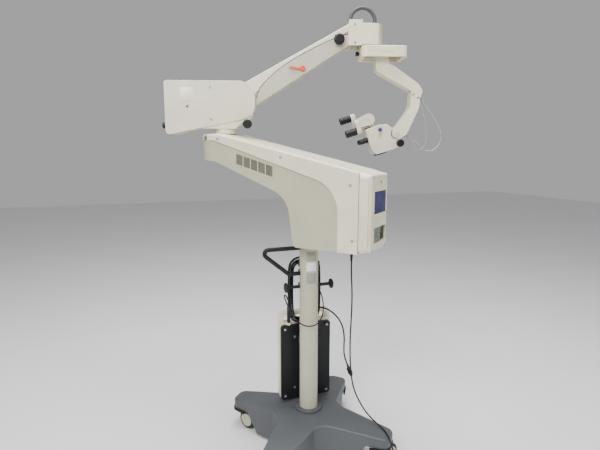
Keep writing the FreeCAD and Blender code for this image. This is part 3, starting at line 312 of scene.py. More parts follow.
# %% Every CAD piece takes its finish
slots = {row["node"]: row["material_slot"] for row in frame["record"]["subparts"]}
for node, piece in frame["nodes"].items():
    piece.data.materials.clear()
    piece.data.materials.append(paints[slots[node]])
frame["nodes"]["end_block"].data.materials[0] = block_paint
frame["nodes"]["column_collar"].data.materials[0] = paints["base_grey"]
print(len(slots), "CAD pieces dressed")

# %% [markdown]
# ## Cables and hose
# A cable is one smooth curve with a round bevel. The route's points are the same as in the CAD
# source, and a NURBS spline uses them as control points, so the cable flows past each one
# without a kink. The order is set after the points, because Blender lowers it while there are
# too few of them. The bevel is one metre deep and every point's radius scales it down to the
# cable's own, so that the curve's bounding box, which Blender pads by that radius, fits it too.

# %% Cable maker
def spline_curve(name, points, diameter, material, base=FLOOR, round_segments=5):
    """One open NURBS spline through control points given in millimetres in a frame."""
    data = bpy.data.curves.new(name, "CURVE")
    data.dimensions = "3D"
    data.bevel_depth = 1.0
    data.bevel_resolution = round_segments
    data.resolution_u = 12
    data.use_fill_caps = True
    spline = data.splines.new("NURBS")
    spline.points.add(len(points) - 1)
    for point, place in zip(spline.points, points):
        point.co = (*(base @ (Vector(place) * MM)), 1.0)
        point.radius = diameter * MM / 2
    spline.order_u = 3
    spline.use_endpoint_u = True
    data.materials.append(material)
    curve = bpy.data.objects.new(name, data)
    bpy.context.collection.objects.link(curve)
    return curve


def spline_length(curve):
    """Length of the drawn line, measured on a copy without its bevel."""
    depth = curve.data.bevel_depth
    curve.data.bevel_depth = 0
    mesh = bpy.data.meshes.new_from_object(curve)
    curve.data.bevel_depth = depth
    points = [v.co.copy() for v in mesh.vertices]
    bpy.data.meshes.remove(mesh)
    return sum((b - a).length for a, b in zip(points, points[1:]))


def free_cord(curve, body, nodes):
    """Tie a cable to its body, hide the CAD solids it stands for, and print the length it was drawn at."""
    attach(curve, body)
    if nodes:
        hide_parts(*nodes)
    length = spline_length(curve)
    print(curve.name, "length %.3f m" % length)


# %% [markdown]
# The foot control's lead leaves its gland upwards, swings round the column and ends in the
# stowed hank. The lead with the plug starts inside the hank. A cloth or rope simulation could
# lay them too, but not twice alike, so both keep the points of the CAD route.

# %% Leads at the column
FOOT_ROUTE = [(-73, 88.5, 688), (-73, 88.5, 716), (-87, 84, 746), (-104, 60, 760),
              (-112, 26, 752), (-107, -4, 724), (-94, -28, 690), (-72, -48, 656),
              (-38, -62, 636), (6, -66, 634), (44, -54, 656), (66, -28, 700), (74, 8, 742),
              (73, 40, 768), (71, 60, 780)]
foot_cable = spline_curve("foot_lead", FOOT_ROUTE, 6, paints["black_cable"])
free_cord(foot_cable, "stand", ["foot_cable"])

PLUG_ROUTE = [(70, 64, 676), (92, 62, 674), (122, 58, 662), (152, 54, 640), (182, 50, 606),
              (204, 50, 562), (214, 50, 508), (212, 50, 452), (214, 50, 400), (232, 50, 354)]
plug_lead = spline_curve("short_lead", PLUG_ROUTE, 8, paints["black_cable"])
free_cord(plug_lead, "stand", ["plug_lead"])

# %% [markdown]
# The hank is one cable wound nine times round a tall rounded loop. The turns sit in three rows
# of three, a little more than one diameter apart, and each turn drifts to the next place in the
# bundle. A hundred and eighty points set by hand would never lie so evenly, so a loop works
# them out from the outline of one turn. The rows spread a little above the peg and fan out
# towards the bottom.

# %% Stowed hank
HANK_X, HANK_TOP, HANK_LOW, HANK_Y = 71.0, 926.0, 621.0, 64.5
HANK_BEND, HANK_D, HANK_PITCH, HANK_TURN_POINTS = 53.0, 6.0, 8.9, 20
LOW_FAN, LOW_START, LOW_SPAN = 0.25, 800, 180
HIGH_FAN, HIGH_START, HIGH_SPAN = 0.5, 860, 66


def hank_outline(share, out):
    """A point of the rounded loop at a share of one turn, moved out from its middle line."""
    half = HANK_X - HANK_BEND
    tall = (HANK_TOP - HANK_LOW) / 2 - HANK_BEND
    angle = share * math.tau
    lean = Vector((math.cos(angle), math.sin(angle)))
    corner = Vector((half * max(-1, min(1, lean.x * 3)), tall * max(-1, min(1, lean.y * 3))))
    reach = HANK_BEND + out
    return corner.x + lean.x * reach, (HANK_TOP + HANK_LOW) / 2 + corner.y + lean.y * reach


places = [(row - 1, (column if row % 2 == 0 else 2 - column) - 1)
          for row in range(3) for column in range(3)]
hank_points = []
turns = len(places)
for step in range(turns * HANK_TURN_POINTS + 1):
    turn, share = divmod(step / HANK_TURN_POINTS, 1.0)
    here = Vector(places[min(int(turn), turns - 1)])
    there = Vector(places[min(int(turn) + 1, turns - 1)])
    place = here.lerp(there, share)
    x, z = hank_outline(share, 0)
    low_fan = LOW_FAN * max(0.0, (LOW_START - z) / LOW_SPAN)
    high_fan = HIGH_FAN * max(0.0, (z - HIGH_START) / HIGH_SPAN)
    x, z = hank_outline(share, place.x * HANK_PITCH * (1 + low_fan + high_fan))
    hank_points.append((x, HANK_Y + place.y * HANK_PITCH, z))
hank = spline_curve("stowed_hank", hank_points, HANK_D, paints["black_cable"])
free_cord(hank, "stand", ["cable_hank"])

# %% [markdown]
# The mains lead hangs from its gland, sags on to a leg, and drops to the floor. The photo ends
# there, so the rest is wound as it is stored: in towards the middle on the floor, up, and out
# again on top. A loop works out the coil, and it follows the hanging points in the same spline,
# so the lead is one cable from the gland to the plug, which rests on the coil.

# %% Mains lead
FLOOR_ROUTE = [(150, -145, 996), (150, -145, 904), (156, -147, 804), (155, -147, 704),
               (151, -145, 604), (151, -146, 504), (156, -148, 414), (168, -152, 340),
               (196, -162, 268), (232, -180, 206), (264, -214, 173), (279, -266, 164),
               (271, -318, 160), (262, -362, 142), (260, -398, 96), (258, -434, 42),
               (252, -480, 8), (238, -530, 5), (226, -570, 5)]
LEAD_D, COIL_X, COIL_Y, COIL_PITCH, COIL_POINTS = 7.0, 180.0, -606.0, 7.1, 16
COIL_OUTER, COIL_INNER, COIL_LAYER = 43.4, 25.5, 7.2
in_turns = (COIL_OUTER - COIL_INNER) / COIL_PITCH
coil_points = []
for step in range(int(2 * in_turns * COIL_POINTS) + 1):
    turn = step / COIL_POINTS
    radius = COIL_OUTER - COIL_PITCH * turn if turn < in_turns else (
        COIL_OUTER - COIL_PITCH * (2 * in_turns - turn))
    climb = max(0.0, min(1.0, (turn - in_turns + 0.25) / 0.5))
    angle = -turn * math.tau
    coil_points.append((COIL_X + radius * math.cos(angle), COIL_Y + radius * math.sin(angle),
                        5 + COIL_LAYER * climb))
mains_lead = spline_curve("mains_lead", FLOOR_ROUTE + coil_points, LEAD_D,
                          paints["black_cable"])
free_cord(mains_lead, "stand", ["floor_cable", "floor_coil"])

# %% [markdown]
# A pale cable bows out under the carrier, from the tilt joint back into the arm. The grey hose
# bridges the end block, where the spring arm's wiring passes the joint. Their points are given
# in the frames of the X-Y unit and the end block, so the numbers stay small and the cables ride
# on the bodies that carry them.

# %% Cables of the suspension
SCOPE_ROUTE = [(178, 0, -481.4), (211, 0, -486), (240, 0, -512), (270, 0, -542),
               (298, 0, -561), (332, 0, -561), (360, 0, -540), (376, 0, -508),
               (374, 0, -470), (358, 0, -432), (334, 0, -396), (309, 0, -362),
               (284, 0, -330), (262, 0, -299), (248, 0, -278)]
scope_cable = spline_curve("scope_lead", SCOPE_ROUTE, 9, paints["pale_cable"], XY)
free_cord(scope_cable, "c_arm", ["scope_cable"])

HOSE_ROUTE = [(-2, 0, 54), (-2, 0, 82), (14, 0, 110), (42, 0, 126), (74, 0, 126),
              (102, 0, 110), (118, 0, 82), (119.5, 0, 60), (118, 0, 39)]
hose = spline_curve("end_hose", HOSE_ROUTE, 18, paints["grey_cable"], END, 8)
free_cord(hose, "end_unit", ["grey_hose"])

# %% [markdown]
# ## Small fittings
# Screws, washers and caps are turned parts, made on a lathe from a bar. One helper does the
# same with a mesh: it spins a profile about an axis, and each kind of fitting is a list of
# radii and heights. A screw modifier would do it too, but a plain mesh needs nothing applied.
# The hexagon socket is a second profile, spun in six steps instead of many.

# %% Turned fittings
def mesh_piece(name, bm, material, matrix, body):
    """Finish a bmesh as an object in its place, riding on a body."""
    mesh = bpy.data.meshes.new(name)
    for face in bm.faces:
        face.smooth = True
    bm.to_mesh(mesh)
    bm.free()
    mesh.transform(matrix)
    mesh.set_sharp_from_angle(angle=math.radians(35))
    mesh.materials.append(material)
    piece = bpy.data.objects.new(name, mesh)
    bpy.context.collection.objects.link(piece)
    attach(piece, body)
    return piece


def facing(base, point, normal, spin=0.0):
    """A frame at a point of an arm's frame, its Z along a normal of that frame."""
    turn = Vector(normal).to_track_quat("Z", "Y").to_matrix().to_4x4()
    return base @ Matrix.Translation(Vector(point) * MM) @ turn @ Matrix.Rotation(spin, 4, "Z")


def spun(bm, profile, segments=32):
    """Turn a profile of (radius, height) pairs in millimetres about Z."""
    rings = []
    for radius, height in profile:
        if radius == 0:
            rings.append([bm.verts.new((0, 0, height * MM))])
        else:
            rings.append([bm.verts.new((radius * MM * math.cos(i * math.tau / segments),
                                        radius * MM * math.sin(i * math.tau / segments),
                                        height * MM)) for i in range(segments)])
    for low, high in zip(rings, rings[1:]):
        for i in range(segments):
            j = (i + 1) % segments
            corners = [low[i % len(low)], low[j % len(low)], high[j % len(high)],
                       high[i % len(high)]]
            corners = list(dict.fromkeys(corners))
            if len(corners) > 2:
                bm.faces.new(corners)


def swept(bm, rings):
    """Join rings of points into a skin and cap its two ends."""
    rows = [[bm.verts.new(Vector(point) * MM) for point in ring] for ring in rings]
    count = len(rows[0])
    for low, high in zip(rows, rows[1:]):
        for i in range(count):
            j = (i + 1) % count
            bm.faces.new((low[i], low[j], high[j], high[i]))
    bm.faces.new(rows[0][::-1])
    bm.faces.new(rows[-1])


def turned_piece(name, base, point, normal, profile, material, body, segments=32):
    """One profile spun into a piece that stands on a point along a normal."""
    bm = bmesh.new()
    spun(bm, profile, segments)
    return mesh_piece(name, bm, material, facing(base, point, normal), body)


def socket_screw(name, base, point, normal, size, material, body):
    """A flush cap screw: a domed head with a hexagonal pit."""
    bm = bmesh.new()
    dome = [(0, -1.2), (size, -1.2), (size, 0.2), (0.86 * size, 0.9), (0.50 * size, 1.0)]
    hexagon = [(0.50 * size, 1.0), (0.46 * size, -0.6), (0, -0.6)]
    washer = [(size - 0.2, -0.6), (size - 0.2, 0.25), (size + 1.5, 0.15), (size + 1.7, -0.6)]
    spun(bm, dome, 24)
    spun(bm, hexagon, 6)
    turned_piece(name + "_seat", base, point, normal, washer, paints["module_grey"], body, 24)
    return mesh_piece(name, bm, material, facing(base, point, normal), body)


# %% [markdown]
# The screws of the covers go in mirrored pairs, one on each side of an arm, so a helper takes
# the arm's half width and one list of places. The wheels get the pale hub caps that hide their
# axles. Each castor has its own heading, as a parked stand has, and the caps ride on the
# wheels, so that they turn with them.

# %% Screws and caps
def screw_rows(prefix, base, half, spots, size, material, body):
    """The same screws on the near and the far side of an arm."""
    for number, (x, z) in enumerate(spots):
        for side in (-1, 1):
            socket_screw("%s_%d_%s" % (prefix, number, "near" if side < 0 else "far"), base,
                         (x, side * half, z), (0, side, 0), size, material, body)


ARM_HALF, HEAD_HALF, BLOCK_HALF, SPRING_HALF, C_HALF = 115, 60, 56.4, 45, 30
HOUSING_END = -339
screw_rows("cover_screw", ARM, ARM_HALF,
           [(433, 1498), (83, 1414), (-250, 1301), (-262, 1069)], 5.0, zinc, "carrier")
screw_rows("plate_screw", HEAD, HEAD_HALF, [(-64, 1745), (-62, 1594)], 4.5, zinc, "head")
screw_rows("block_screw", END, BLOCK_HALF, [(12, 35), (13, -47)], 4.5, zinc, "end_unit")
screw_rows("arm_screw", SPRING, SPRING_HALF, [(221.5, -32), (590, -22)], 5.0, brass,
           "spring_arm")
screw_rows("band_screw", XY, C_HALF, [(214, -284), (240, -300)], 4.0, zinc, "c_arm")
PANEL = turned(FLOOR, 0, "Z", 18, 97, 198)
for x, z in ((-111, 20), (111, 20), (-111, 374), (111, 374)):
    socket_screw("foot_screw_%d_%d" % (x > 0, z), PANEL, (x, -17, z), (0, -1, 0), 5.0, zinc,
                 "stand")
for number, (y, z) in enumerate(((-83.3, 1030), (83.3, 1030), (-83.3, 1330), (83.3, 1330))):
    socket_screw("end_screw_%d" % number, ARM, (HOUSING_END, y, z), (-1, 0, 0), 4.0, zinc,
                 "carrier")

CASTOR_REACH, TRAIL, WHEEL_R, WHEEL_FACE = 370, 36, 48, 31
CASTORS = {"rear_left": (135, 302), "front_left": (225, 250),
           "front_right": (315, 20), "rear_right": (45, 205)}
cap_profile = [(35.5, -1.0), (35, 0.8), (33, 1.8), (26, 2.4), (0, 2.6)]
for corner, (leg_angle, heading) in CASTORS.items():
    leg = math.radians(leg_angle)
    castor = turned(FLOOR, heading, "Z", CASTOR_REACH * math.cos(leg),
                    CASTOR_REACH * math.sin(leg))
    for side in (-1, 1):
        turned_piece("hub_cap_%s_%d" % (corner, side > 0), castor,
                     (TRAIL, side * WHEEL_FACE, WHEEL_R), (0, side, 0), cap_profile,
                     paints["stand_paint"], "wheels_" + corner)

# %% [markdown]
# Knobs and rings that the CAD model leaves out: the black knobs at the head's and the X-Y
# unit's left ends, the blue ball knob of the magnification changer, the printed rings that mark
# the changer and the lock lever, and the caps over the tilt axis. All of them are round, so each
# is one more profile on the lathe, with a small step wherever two parts of the real knob meet.

# %% Knobs, rings and caps
turned_piece("head_end_knob", HEAD, (-275, 0, 1568), (-1, 0, 0),
             [(8, -2), (8, 7), (13, 9), (15, 13), (15, 30), (12, 34), (0, 35)],
             paints["black_plastic"], "head")
turned_piece("xy_knob", XY, (-55, 0, -88), (-1, 0, 0),
             [(7, -2), (7, 4), (10, 6), (11, 9), (11, 15), (8, 18), (0, 18.5)],
             paints["black_plastic"], "xy_unit")
turned_piece("changer_knob", SCOPE, (-84, -48, 46), (0, -1, 0),
             [(5, -1), (5, 5), (8, 7), (10, 11), (10, 15), (8, 19), (4.5, 21), (0, 21.5)],
             blue_knob, "scope", 48)
for name, base, point, half_thick, body in (
        ("changer_ring", SCOPE, (-92, -48, 15), 0.5, "scope"),
        ("lever_mark", SPRING, (356, -SPRING_HALF, 5), 0.3, "spring_arm")):
    turned_piece(name, base, point, (0, -1, 0),
                 [(9, -half_thick), (9, half_thick), (7, half_thick), (7, -half_thick)],
                 paints["module_grey"], body, 48)
for name, side in (("tilt_cap", -1), ("tilt_cap_far", 1)):
    turned_piece(name, XY, (TILT_X, side * C_HALF, TILT_Z), (0, side, 0),
                 [(14, -1), (14, 1.5), (12, 2.5), (4, 2.7), (3.2, 1.2), (0, 1.2)],
                 paints["scope_paint"], "c_arm", 48)

# %% [markdown]
# A cable leaves its housing through a tapered rubber sleeve, which keeps it from kinking. Its
# grooves let it bend. The sleeve is turned as well, and a loop adds one groove for every few
# millimetres of its length, so a longer sleeve gets more of them.

# %% Strain reliefs
GROOVE_EVERY = 6


def boot(name, base, point, normal, low_r, high_r, length, body, material):
    """A tapered strain relief with grooves, its wide end at the housing."""
    profile = [(low_r * 0.7, -1.0), (low_r, 0.0)]
    rings = max(3, int(length / GROOVE_EVERY))
    for i in range(rings):
        share = (i + 1) / rings
        radius = low_r + (high_r - low_r) * share
        profile += [(radius, length * (share - 0.45 / rings)),
                    (radius - 0.5, length * (share - 0.25 / rings)), (radius, length * share)]
    profile.append((high_r * 0.6, length + 0.4))
    return turned_piece(name, base, point, normal, profile, material, body, 24)


boot("mains_boot", FLOOR, (150, -145, 996), (0, 0, -1), 8.0, 4.6, 44, "stand",
     paints["black_rubber"])
boot("foot_lead_boot", FLOOR, (-73, 88.5, 688), (0, 0, 1), 7.0, 4.0, 24, "stand",
     paints["black_rubber"])
boot("scope_lead_boot", XY, (186, 0, -482.4), (33, 0, -4.6), 7.5, 5.4, 22, "c_arm",
     paints["pale_cable"])
boot("hose_collar_arm", END, (-2, 0, 58), (0, 0, 1), 13, 10.6, 14, "end_unit",
     paints["black_rubber"])
boot("hose_collar_block", END, (118.6, 0, 43), (0.1, 0, 1), 13, 10.6, 12, "end_unit",
     paints["black_rubber"])

# %% [markdown]
# The second, thinner cable of the microscope carrier runs beside the first. It has no solid in
# the CAD model, so it replaces nothing, and only its look and its length are given here.

# %% Thin inner cable
INNER_ROUTE = [(186, -24, -474), (204, -25, -488), (218, -25, -518), (236, -24, -546),
               (262, -23, -558), (284, -22, -540), (292, -22, -506), (290, -22, -466),
               (284, -22, -426), (276, -22, -388), (266, -22, -352), (254, -22, -322),
               (243, -22, -306)]
inner_cable = spline_curve("scope_thin_lead", INNER_ROUTE, 5, paints["pale_cable"], XY)
free_cord(inner_cable, "c_arm", [])

# %% [markdown]
# Thin plates with rounded corners stand for the badges and rating plates, all left bare. A
# flat one is a rounded outline, carried up through its thickness and drawn in at the rim. The
# labels on the column wrap round it. A flat outline with few corners would cut through the
# round tube when bent, so a label is a small upright section, swept along the column's arc.

# %% Bare plates
def outline_points(wide, tall, corner, steps=6):
    """A rectangle with round corners, each an arc of a few steps."""
    points = []
    for quarter, (sx, sy) in enumerate(((1, 1), (-1, 1), (-1, -1), (1, -1))):
        for i in range(steps + 1):
            angle = (quarter + i / steps) * math.pi / 2
            points.append((sx * (wide / 2 - corner) + corner * math.cos(angle),
                           sy * (tall / 2 - corner) + corner * math.sin(angle)))
    return points


def thin_plate(name, base, centre, normal, wide, tall, thick, material, body):
    """A flat plate with rounded corners and a softened rim."""
    bm = bmesh.new()
    swept(bm, [[(x, y, height) for x, y in outline_points(
        wide - 2 * inset, tall - 2 * inset, min(wide, tall) * 0.12)]
        for inset, height in ((0, 0), (0, thick * 0.7), (0.4, thick))])
    return mesh_piece(name, bm, material, facing(base, centre, normal), body)


WRAP_STEPS = 24
COLUMN_R, LABELS_MIDDLE, LABELS_HALF = 44, -93.7, 32


def wrapped_plate(name, low, high, radius, middle, half, material, body):
    """A label wrapped round the column, swept along its arc between two angles."""
    rings = []
    for step in range(WRAP_STEPS + 1):
        angle = math.radians(middle + half * (2 * step / WRAP_STEPS - 1))
        rings.append([(r * math.cos(angle), r * math.sin(angle), z) for r, z in (
            (radius - 0.2, low), (radius + 0.3, low), (radius + 0.5, low + 0.4),
            (radius + 0.5, high - 0.4), (radius + 0.3, high), (radius - 0.2, high))])
    bm = bmesh.new()
    swept(bm, rings)
    return mesh_piece(name, bm, material, FLOOR, body)


for number, (low, high, paint) in enumerate(((941, 984, label_grey), (893, 934, label_white),
                                             (832, 884, label_grey))):
    wrapped_plate("column_plate_%d" % number, low, high, COLUMN_R, LABELS_MIDDLE, LABELS_HALF,
                  paint, "stand")
thin_plate("head_badge", HEAD, (-175, -HEAD_HALF, 1711), (0, -1, 0), 66, 68, 0.6,
           paints["cream_paint"], "head")
thin_plate("xy_badge", XY, (70, -75, -84), (0, -1, 0), 60, 18, 0.5, paints["scope_paint"],
           "xy_unit")
thin_plate("body_badge", SCOPE, (-118, -48, 44), (0, -1, 0), 34, 12, 0.4, paints["cream_paint"],
           "scope")

# %% [markdown]
# The foot control hangs with its underside to the front, so its five round plugs and the pale
# nut round its gland are in view. The end cover has one round key above the display, and the
# head's side plate a round cap under its badge.

# %% Plugs, key and cap
for number, (x, z) in enumerate(((-60, 60), (60, 60), (-60, 330), (60, 330), (0, 196))):
    turned_piece("panel_plug_%d" % number, PANEL, (x, -12, z), (0, -1, 0),
                 [(6, -0.5), (6, 0.4), (4.6, 1.0), (4.2, 0.2), (0, 0.2)],
                 paints["module_grey"], "stand", 24)
turned_piece("gland_nut", PANEL, (-91, -8.5, 396), (0, 0, 1),
             [(8, -1), (12, 0), (12, 8), (10.5, 11), (8, 11)], paints["plate_paint"], "stand", 6)
turned_piece("display_key", ARM, (HOUSING_END, -8, 1312), (-1, 0, 0),
             [(6.5, -1), (6.5, 1.0), (5.4, 1.8), (4.6, 1.2), (0, 1.4)], paints["module_grey"],
             "carrier", 32)
turned_piece("head_cap", HEAD, (-175, -HEAD_HALF, 1655), (0, -1, 0),
             [(7, -1), (7, 0.8), (5.6, 1.3), (4.8, 0.7), (0, 0.7)], paints["module_grey"],
             "head", 32)

# %% [markdown]
# ## Brackets on the column
# In the photograph nothing crosses the column's front, so the hooks, the peg, the hanger and
# the handle are bolted to half saddles that hold the column's back. A saddle is a rounded
# section swept over half a turn. The handle is a bent rod: straight runs joined by arcs, and
# a circle carried along them.

# %% Half saddles and the bent handle
def rounded_line(points, steps=8):
    """A flat line through corners, each (x, y) or (x, y, radius), with arcs at the radii."""
    line = []
    for number, corner in enumerate(points):
        here = Vector(corner[:2])
        if len(corner) < 3 or number in (0, len(points) - 1):
            line.append(here)
            continue
        back = (Vector(points[number - 1][:2]) - here).normalized()
        ahead = (Vector(points[number + 1][:2]) - here).normalized()
        half = back.angle(ahead) / 2
        middle = here + (back + ahead).normalized() * corner[2] / math.sin(half)
        first = here + back * corner[2] / math.tan(half) - middle
        last = here + ahead * corner[2] / math.tan(half) - middle
        line += [middle + first.slerp(last, i / steps).normalized() * corner[2]
                 for i in range(steps + 1)]
    return line


SADDLE_STEPS = 32


def saddle(bm, z, high=26, inner=44.2, outer=51, start=-21, end=159):
    """Half a ring of rounded section round the back of the column."""
    section = [(inner, z - high / 2), (outer - 2, z - high / 2), (outer - 0.6, z - high / 2 + 0.6),
               (outer, z - high / 2 + 2), (outer, z + high / 2 - 2),
               (outer - 0.6, z + high / 2 - 0.6), (outer - 2, z + high / 2), (inner, z + high / 2)]
    rings = []
    for step in range(SADDLE_STEPS + 1):
        angle = math.radians(start + (end - start) * step / SADDLE_STEPS)
        rings.append([(r * math.cos(angle), r * math.sin(angle), h) for r, h in section])
    swept(bm, rings)


def rod(bm, line, radius, segments=20):
    """A round bar along a flat line in the XZ plane."""
    rings = []
    for number, here in enumerate(line):
        before, after = line[max(0, number - 1)], line[min(len(line) - 1, number + 1)]
        way = (after - before).normalized()
        across = Vector((-way.y, way.x))
        rings.append([(here.x + across.x * radius * math.cos(a), radius * math.sin(a),
                       here.y + across.y * radius * math.cos(a))
                      for a in (i * math.tau / segments for i in range(segments))])
    swept(bm, rings)


HANDLE_TOP, HANDLE_LOW, HANDLE_R = 998, 876, 10
bm = bmesh.new()
rod(bm, rounded_line([(-46, HANDLE_TOP), (-247, HANDLE_TOP, 18), (-100, HANDLE_LOW, 24),
                      (-46, HANDLE_LOW)]), HANDLE_R)
saddle(bm, HANDLE_TOP)
saddle(bm, HANDLE_LOW)
handle = mesh_piece("handle", bm, paints["black_metal"], FLOOR, "stand")
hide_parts("transport_handle")
print("handle", len(handle.data.polygons), "faces")

# %% [markdown]
# The hooks are one welded part on the real stand: three saddles with a stud to either side, a
# peg to the back for the hank, and a flat hanger for the foot control. The round ones are spun
# apart, turned to their direction, and added to the same mesh.

# %% Hooks, peg and hanger
HOOK_Z, UPPER_HOOK_Z, PEG_Z, HANGER_Z = 812, 918, 905, 538
bm = bmesh.new()
for z in (HOOK_Z, UPPER_HOOK_Z, HANGER_Z):
    saddle(bm, z)
peg = [(7, 46), (7, 82), (12, 82), (14, 83), (14, 85), (12.5, 86), (0, 86)]
stud = [(8, 47), (8, 107), (18, 108), (23, 110), (24, 113), (22.5, 118), (17, 121), (0, 121)]
for profile, normal, z in ((stud, (1, 0, 0), HOOK_Z), (stud, (-1, 0, 0), HOOK_Z),
                           (peg, (0, 1, 0), PEG_Z)):
    part = bmesh.new()
    spun(part, [(0, profile[0][1])] + profile)
    part.transform(facing(FLOOR, (0, 0, z), normal))
    scratch = bpy.data.meshes.new("scratch")
    part.to_mesh(scratch)
    part.free()
    bm.from_mesh(scratch)
    bpy.data.meshes.remove(scratch)
hanger = outline_points(48, 24, 4)
swept(bm, [[(x, y_at, HANGER_Z + y) for x, y in hanger] for y_at in (46, 85)])
hooks = mesh_piece("hooks", bm, paints["black_metal"], FLOOR, "stand")
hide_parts("column_brackets")
print("hooks", len(hooks.data.polygons), "faces")

# %% [markdown]
# The spring arm's sides are covered by a plate in a warmer grey, whose top edge is a long arc
# over the cover, with a dark joint along it. Along the carrier's parting line a dark band is the
# joint and also painted shadow, the shade under the cover's lip where the casting is set back. A
# thin black bar fills each vent slot as painted shade, the dark depth of the slot, and a dark
# ring lies in the flange of the microscope. A joint is a narrow band swept between two lines
# that run beside one another, because a joint drawn in a material would need unwrapping and
# would blur near by.

# %% Side plates, joints, painted shade and vents
def side_band(name, base, upper, lower, side, inner, outer, material, body):
    """A flat band on one side of an arm, between two lines and between two distances."""
    bm = bmesh.new()
    swept(bm, [[(a[0], side * inner, a[1]), (a[0], side * outer, a[1]),
                (b[0], side * outer, b[1]), (b[0], side * inner, b[1])]
               for a, b in zip(upper, lower)])
    bmesh.ops.recalc_face_normals(bm, faces=bm.faces)
    return mesh_piece(name, bm, material, base, body)


def beside(line, offset):
    """A flat line moved to its left by an offset."""
    moved = []
    for number, here in enumerate(line):
        before, after = line[max(0, number - 1)], line[min(len(line) - 1, number + 1)]
        way = (Vector(after) - Vector(before)).normalized()
        moved.append(tuple(Vector(here) + Vector((-way.y, way.x)) * offset))
    return moved


ARC = [(90, -34), (96, -25), (110, -12), (130, 0), (150, 8), (176, 15), (202, 21), (230, 26),
       (260, 30), (290, 32), (336, 33), (385, 32), (450, 29), (518, 23), (570, 14), (600, 8),
       (622, 2), (636, -6)]
ARC_START, ARC_END = ARC[0][0], ARC[-1][0]
ARC_LOW = [(x, -58 + 16.5 * (x - ARC_START) / (ARC_END - ARC_START)) for x, _ in ARC]
PARTING = rounded_line([(472, 1491.5), (455, 1491, 6), (-195.6, 1287.5, 150), (-195.6, 1018)], 14)
NECK = [(-288.2, 1020), (-288.2, 1346)]
VENT_X, VENT_Z, SLOPE = 128, 1327, math.radians(15.8)
GROUP_PITCH, SLOT_PITCH = 42.5, 6.2
SLOTS = [GROUP_PITCH * group + SLOT_PITCH * slot for group in range(5) for slot in range(6)]
SLOT_BAR = ((-0.4, -0.3), (3.8, -0.3), (16.6, 45.5), (12.4, 45.5))
PANEL_FACE, RECESS_FACE = 48.35, 112
# One black serves the real joints, the flange ring, and the painted shade of the parting line and the vent slots.
joint_and_shade_black = paints["black_plastic"]
for tag, side in (("near", -1), ("far", 1)):
    side_band("spring_side_" + tag, SPRING, ARC, ARC_LOW, side, SPRING_HALF, PANEL_FACE,
              panel_paint, "spring_arm")
    side_band("spring_joint_" + tag, SPRING, beside(ARC, 3.4), beside(ARC, -0.2), side,
              PANEL_FACE - 0.45, PANEL_FACE - 0.1, joint_and_shade_black, "spring_arm")
    # The parting line's dark band: the joint, and painted shadow under the cover's lip where the casting is set
    # back.
    side_band("arm_gap_and_shadow_" + tag, ARM, beside(PARTING, 1.6), beside(PARTING, -1.8), side,
              RECESS_FACE - 0.4, RECESS_FACE + 0.4, joint_and_shade_black, "carrier")
    side_band("neck_joint_" + tag, ARM, beside(NECK, 1.2), beside(NECK, -1.2), side,
              ARM_HALF - 0.2, ARM_HALF + 0.15, joint_and_shade_black, "carrier")
    # Black bars in the vent slots are painted shade: the darkness deep in each slot.
    bm = bmesh.new()
    for along in SLOTS:
        corners = []
        for u, v in SLOT_BAR:
            u = along + u
            corners.append((VENT_X + u * math.cos(SLOPE) - v * math.sin(SLOPE),
                            VENT_Z + u * math.sin(SLOPE) + v * math.cos(SLOPE)))
        swept(bm, [[(x, side * off, z) for x, z in corners]
                   for off in (RECESS_FACE - 0.3, RECESS_FACE + 0.2)])
    bmesh.ops.recalc_face_normals(bm, faces=bm.faces)
    mesh_piece("vent_slot_shade_" + tag, bm, joint_and_shade_black, ARM, "carrier")
turned_piece("flange_ring", SCOPE, (-116, 0, 70.6), (0, 0, 1),
             [(33.5, 0), (34.6, 0), (34.6, 2.6), (33.5, 2.6), (33.5, 0)], joint_and_shade_black, "scope", 64)

# %% [markdown]
# ## Light, floor and camera
# The photograph was taken in a plain pale room under even light. A large softbox from the
# upper left and a weaker one from the right give the round column and the covers their soft
# shading. A third one overhead lights the tops, and the pale world fills the shadows. Area
# lights are used and not a sun, because a large source gives soft edges to the shadows.

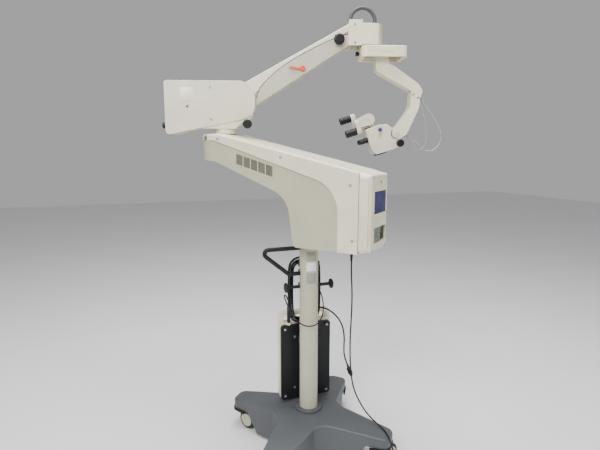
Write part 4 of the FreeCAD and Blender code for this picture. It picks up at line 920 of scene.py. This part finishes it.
# %% Softboxes and the pale world
def area_light(name, place, aim, size, power):
    """A square softbox that looks from its place at its aim."""
    data = bpy.data.lights.new(name, "AREA")
    data.shape = "SQUARE"
    data.size = size
    data.energy = power
    light = bpy.data.objects.new(name, data)
    bpy.context.collection.objects.link(light)
    light.location = place
    light.rotation_euler = (Vector(aim) - Vector(place)).to_track_quat("-Z", "Y").to_euler()


area_light("key", (-2.2, -2.6, 3.6), (0, 0, 1.2), 1.8, 180)
area_light("fill", (2.8, -2.6, 2.2), (0, 0, 1.1), 2.4, 36)
area_light("top", (0.0, 0.0, 4.2), (0, 0, 0), 2.4, 210)

world = bpy.data.worlds.new("pale room")
world.use_nodes = True
world.node_tree.nodes["Background"].inputs["Color"].default_value = (0.93, 0.93, 0.94, 1.0)
world.node_tree.nodes["Background"].inputs["Strength"].default_value = 0.45
bpy.context.scene.world = world
print(len(bpy.data.lights), "softboxes")

# %% [markdown]
# The floor is one large plain face. It runs far out behind the stand, so that its far edge
# reads as the foot of the wall.

# %% Floor
FLOOR_HALF = 12.0
bm = bmesh.new()
bmesh.ops.create_grid(bm, x_segments=1, y_segments=1, size=FLOOR_HALF)
floor_mesh = bpy.data.meshes.new("floor")
bm.to_mesh(floor_mesh)
bm.free()
floor = bpy.data.objects.new("floor", floor_mesh)
bpy.context.collection.objects.link(floor)
floor_paint = finish("pale floor", (0.80, 0.80, 0.80), 0.6, grain=60, bump=0.02, spread=0.02,
                     patch=1.5)
floor_mesh.materials.append(floor_paint)
print("floor", 2 * FLOOR_HALF, "m wide")

# %% [markdown]
# The camera stands where the photographer stood. The upright lines of the stand draw together
# downwards, which gives a camera pitched nine degrees down, and the wall and the base give the
# rest. A lens of 27 mm on a sensor of 36 mm sees as far as 450 pixels do in a picture of 600.

# %% Camera
SENSOR_WIDE, LENS, EYE = 36.0, 27.0, (-0.729, -1.933, 1.43)
PITCH_DOWN, HEADING = 9.0, -19.5
camera_data = bpy.data.cameras.new("camera")
camera_data.sensor_width = SENSOR_WIDE
camera_data.lens = LENS
camera = bpy.data.objects.new("camera", camera_data)
bpy.context.collection.objects.link(camera)
camera.location = EYE
camera.rotation_euler = (math.radians(90.0 - PITCH_DOWN), 0.0, math.radians(HEADING))
bpy.context.scene.camera = camera
print("camera", EYE, "pitched", PITCH_DOWN, "degrees down")
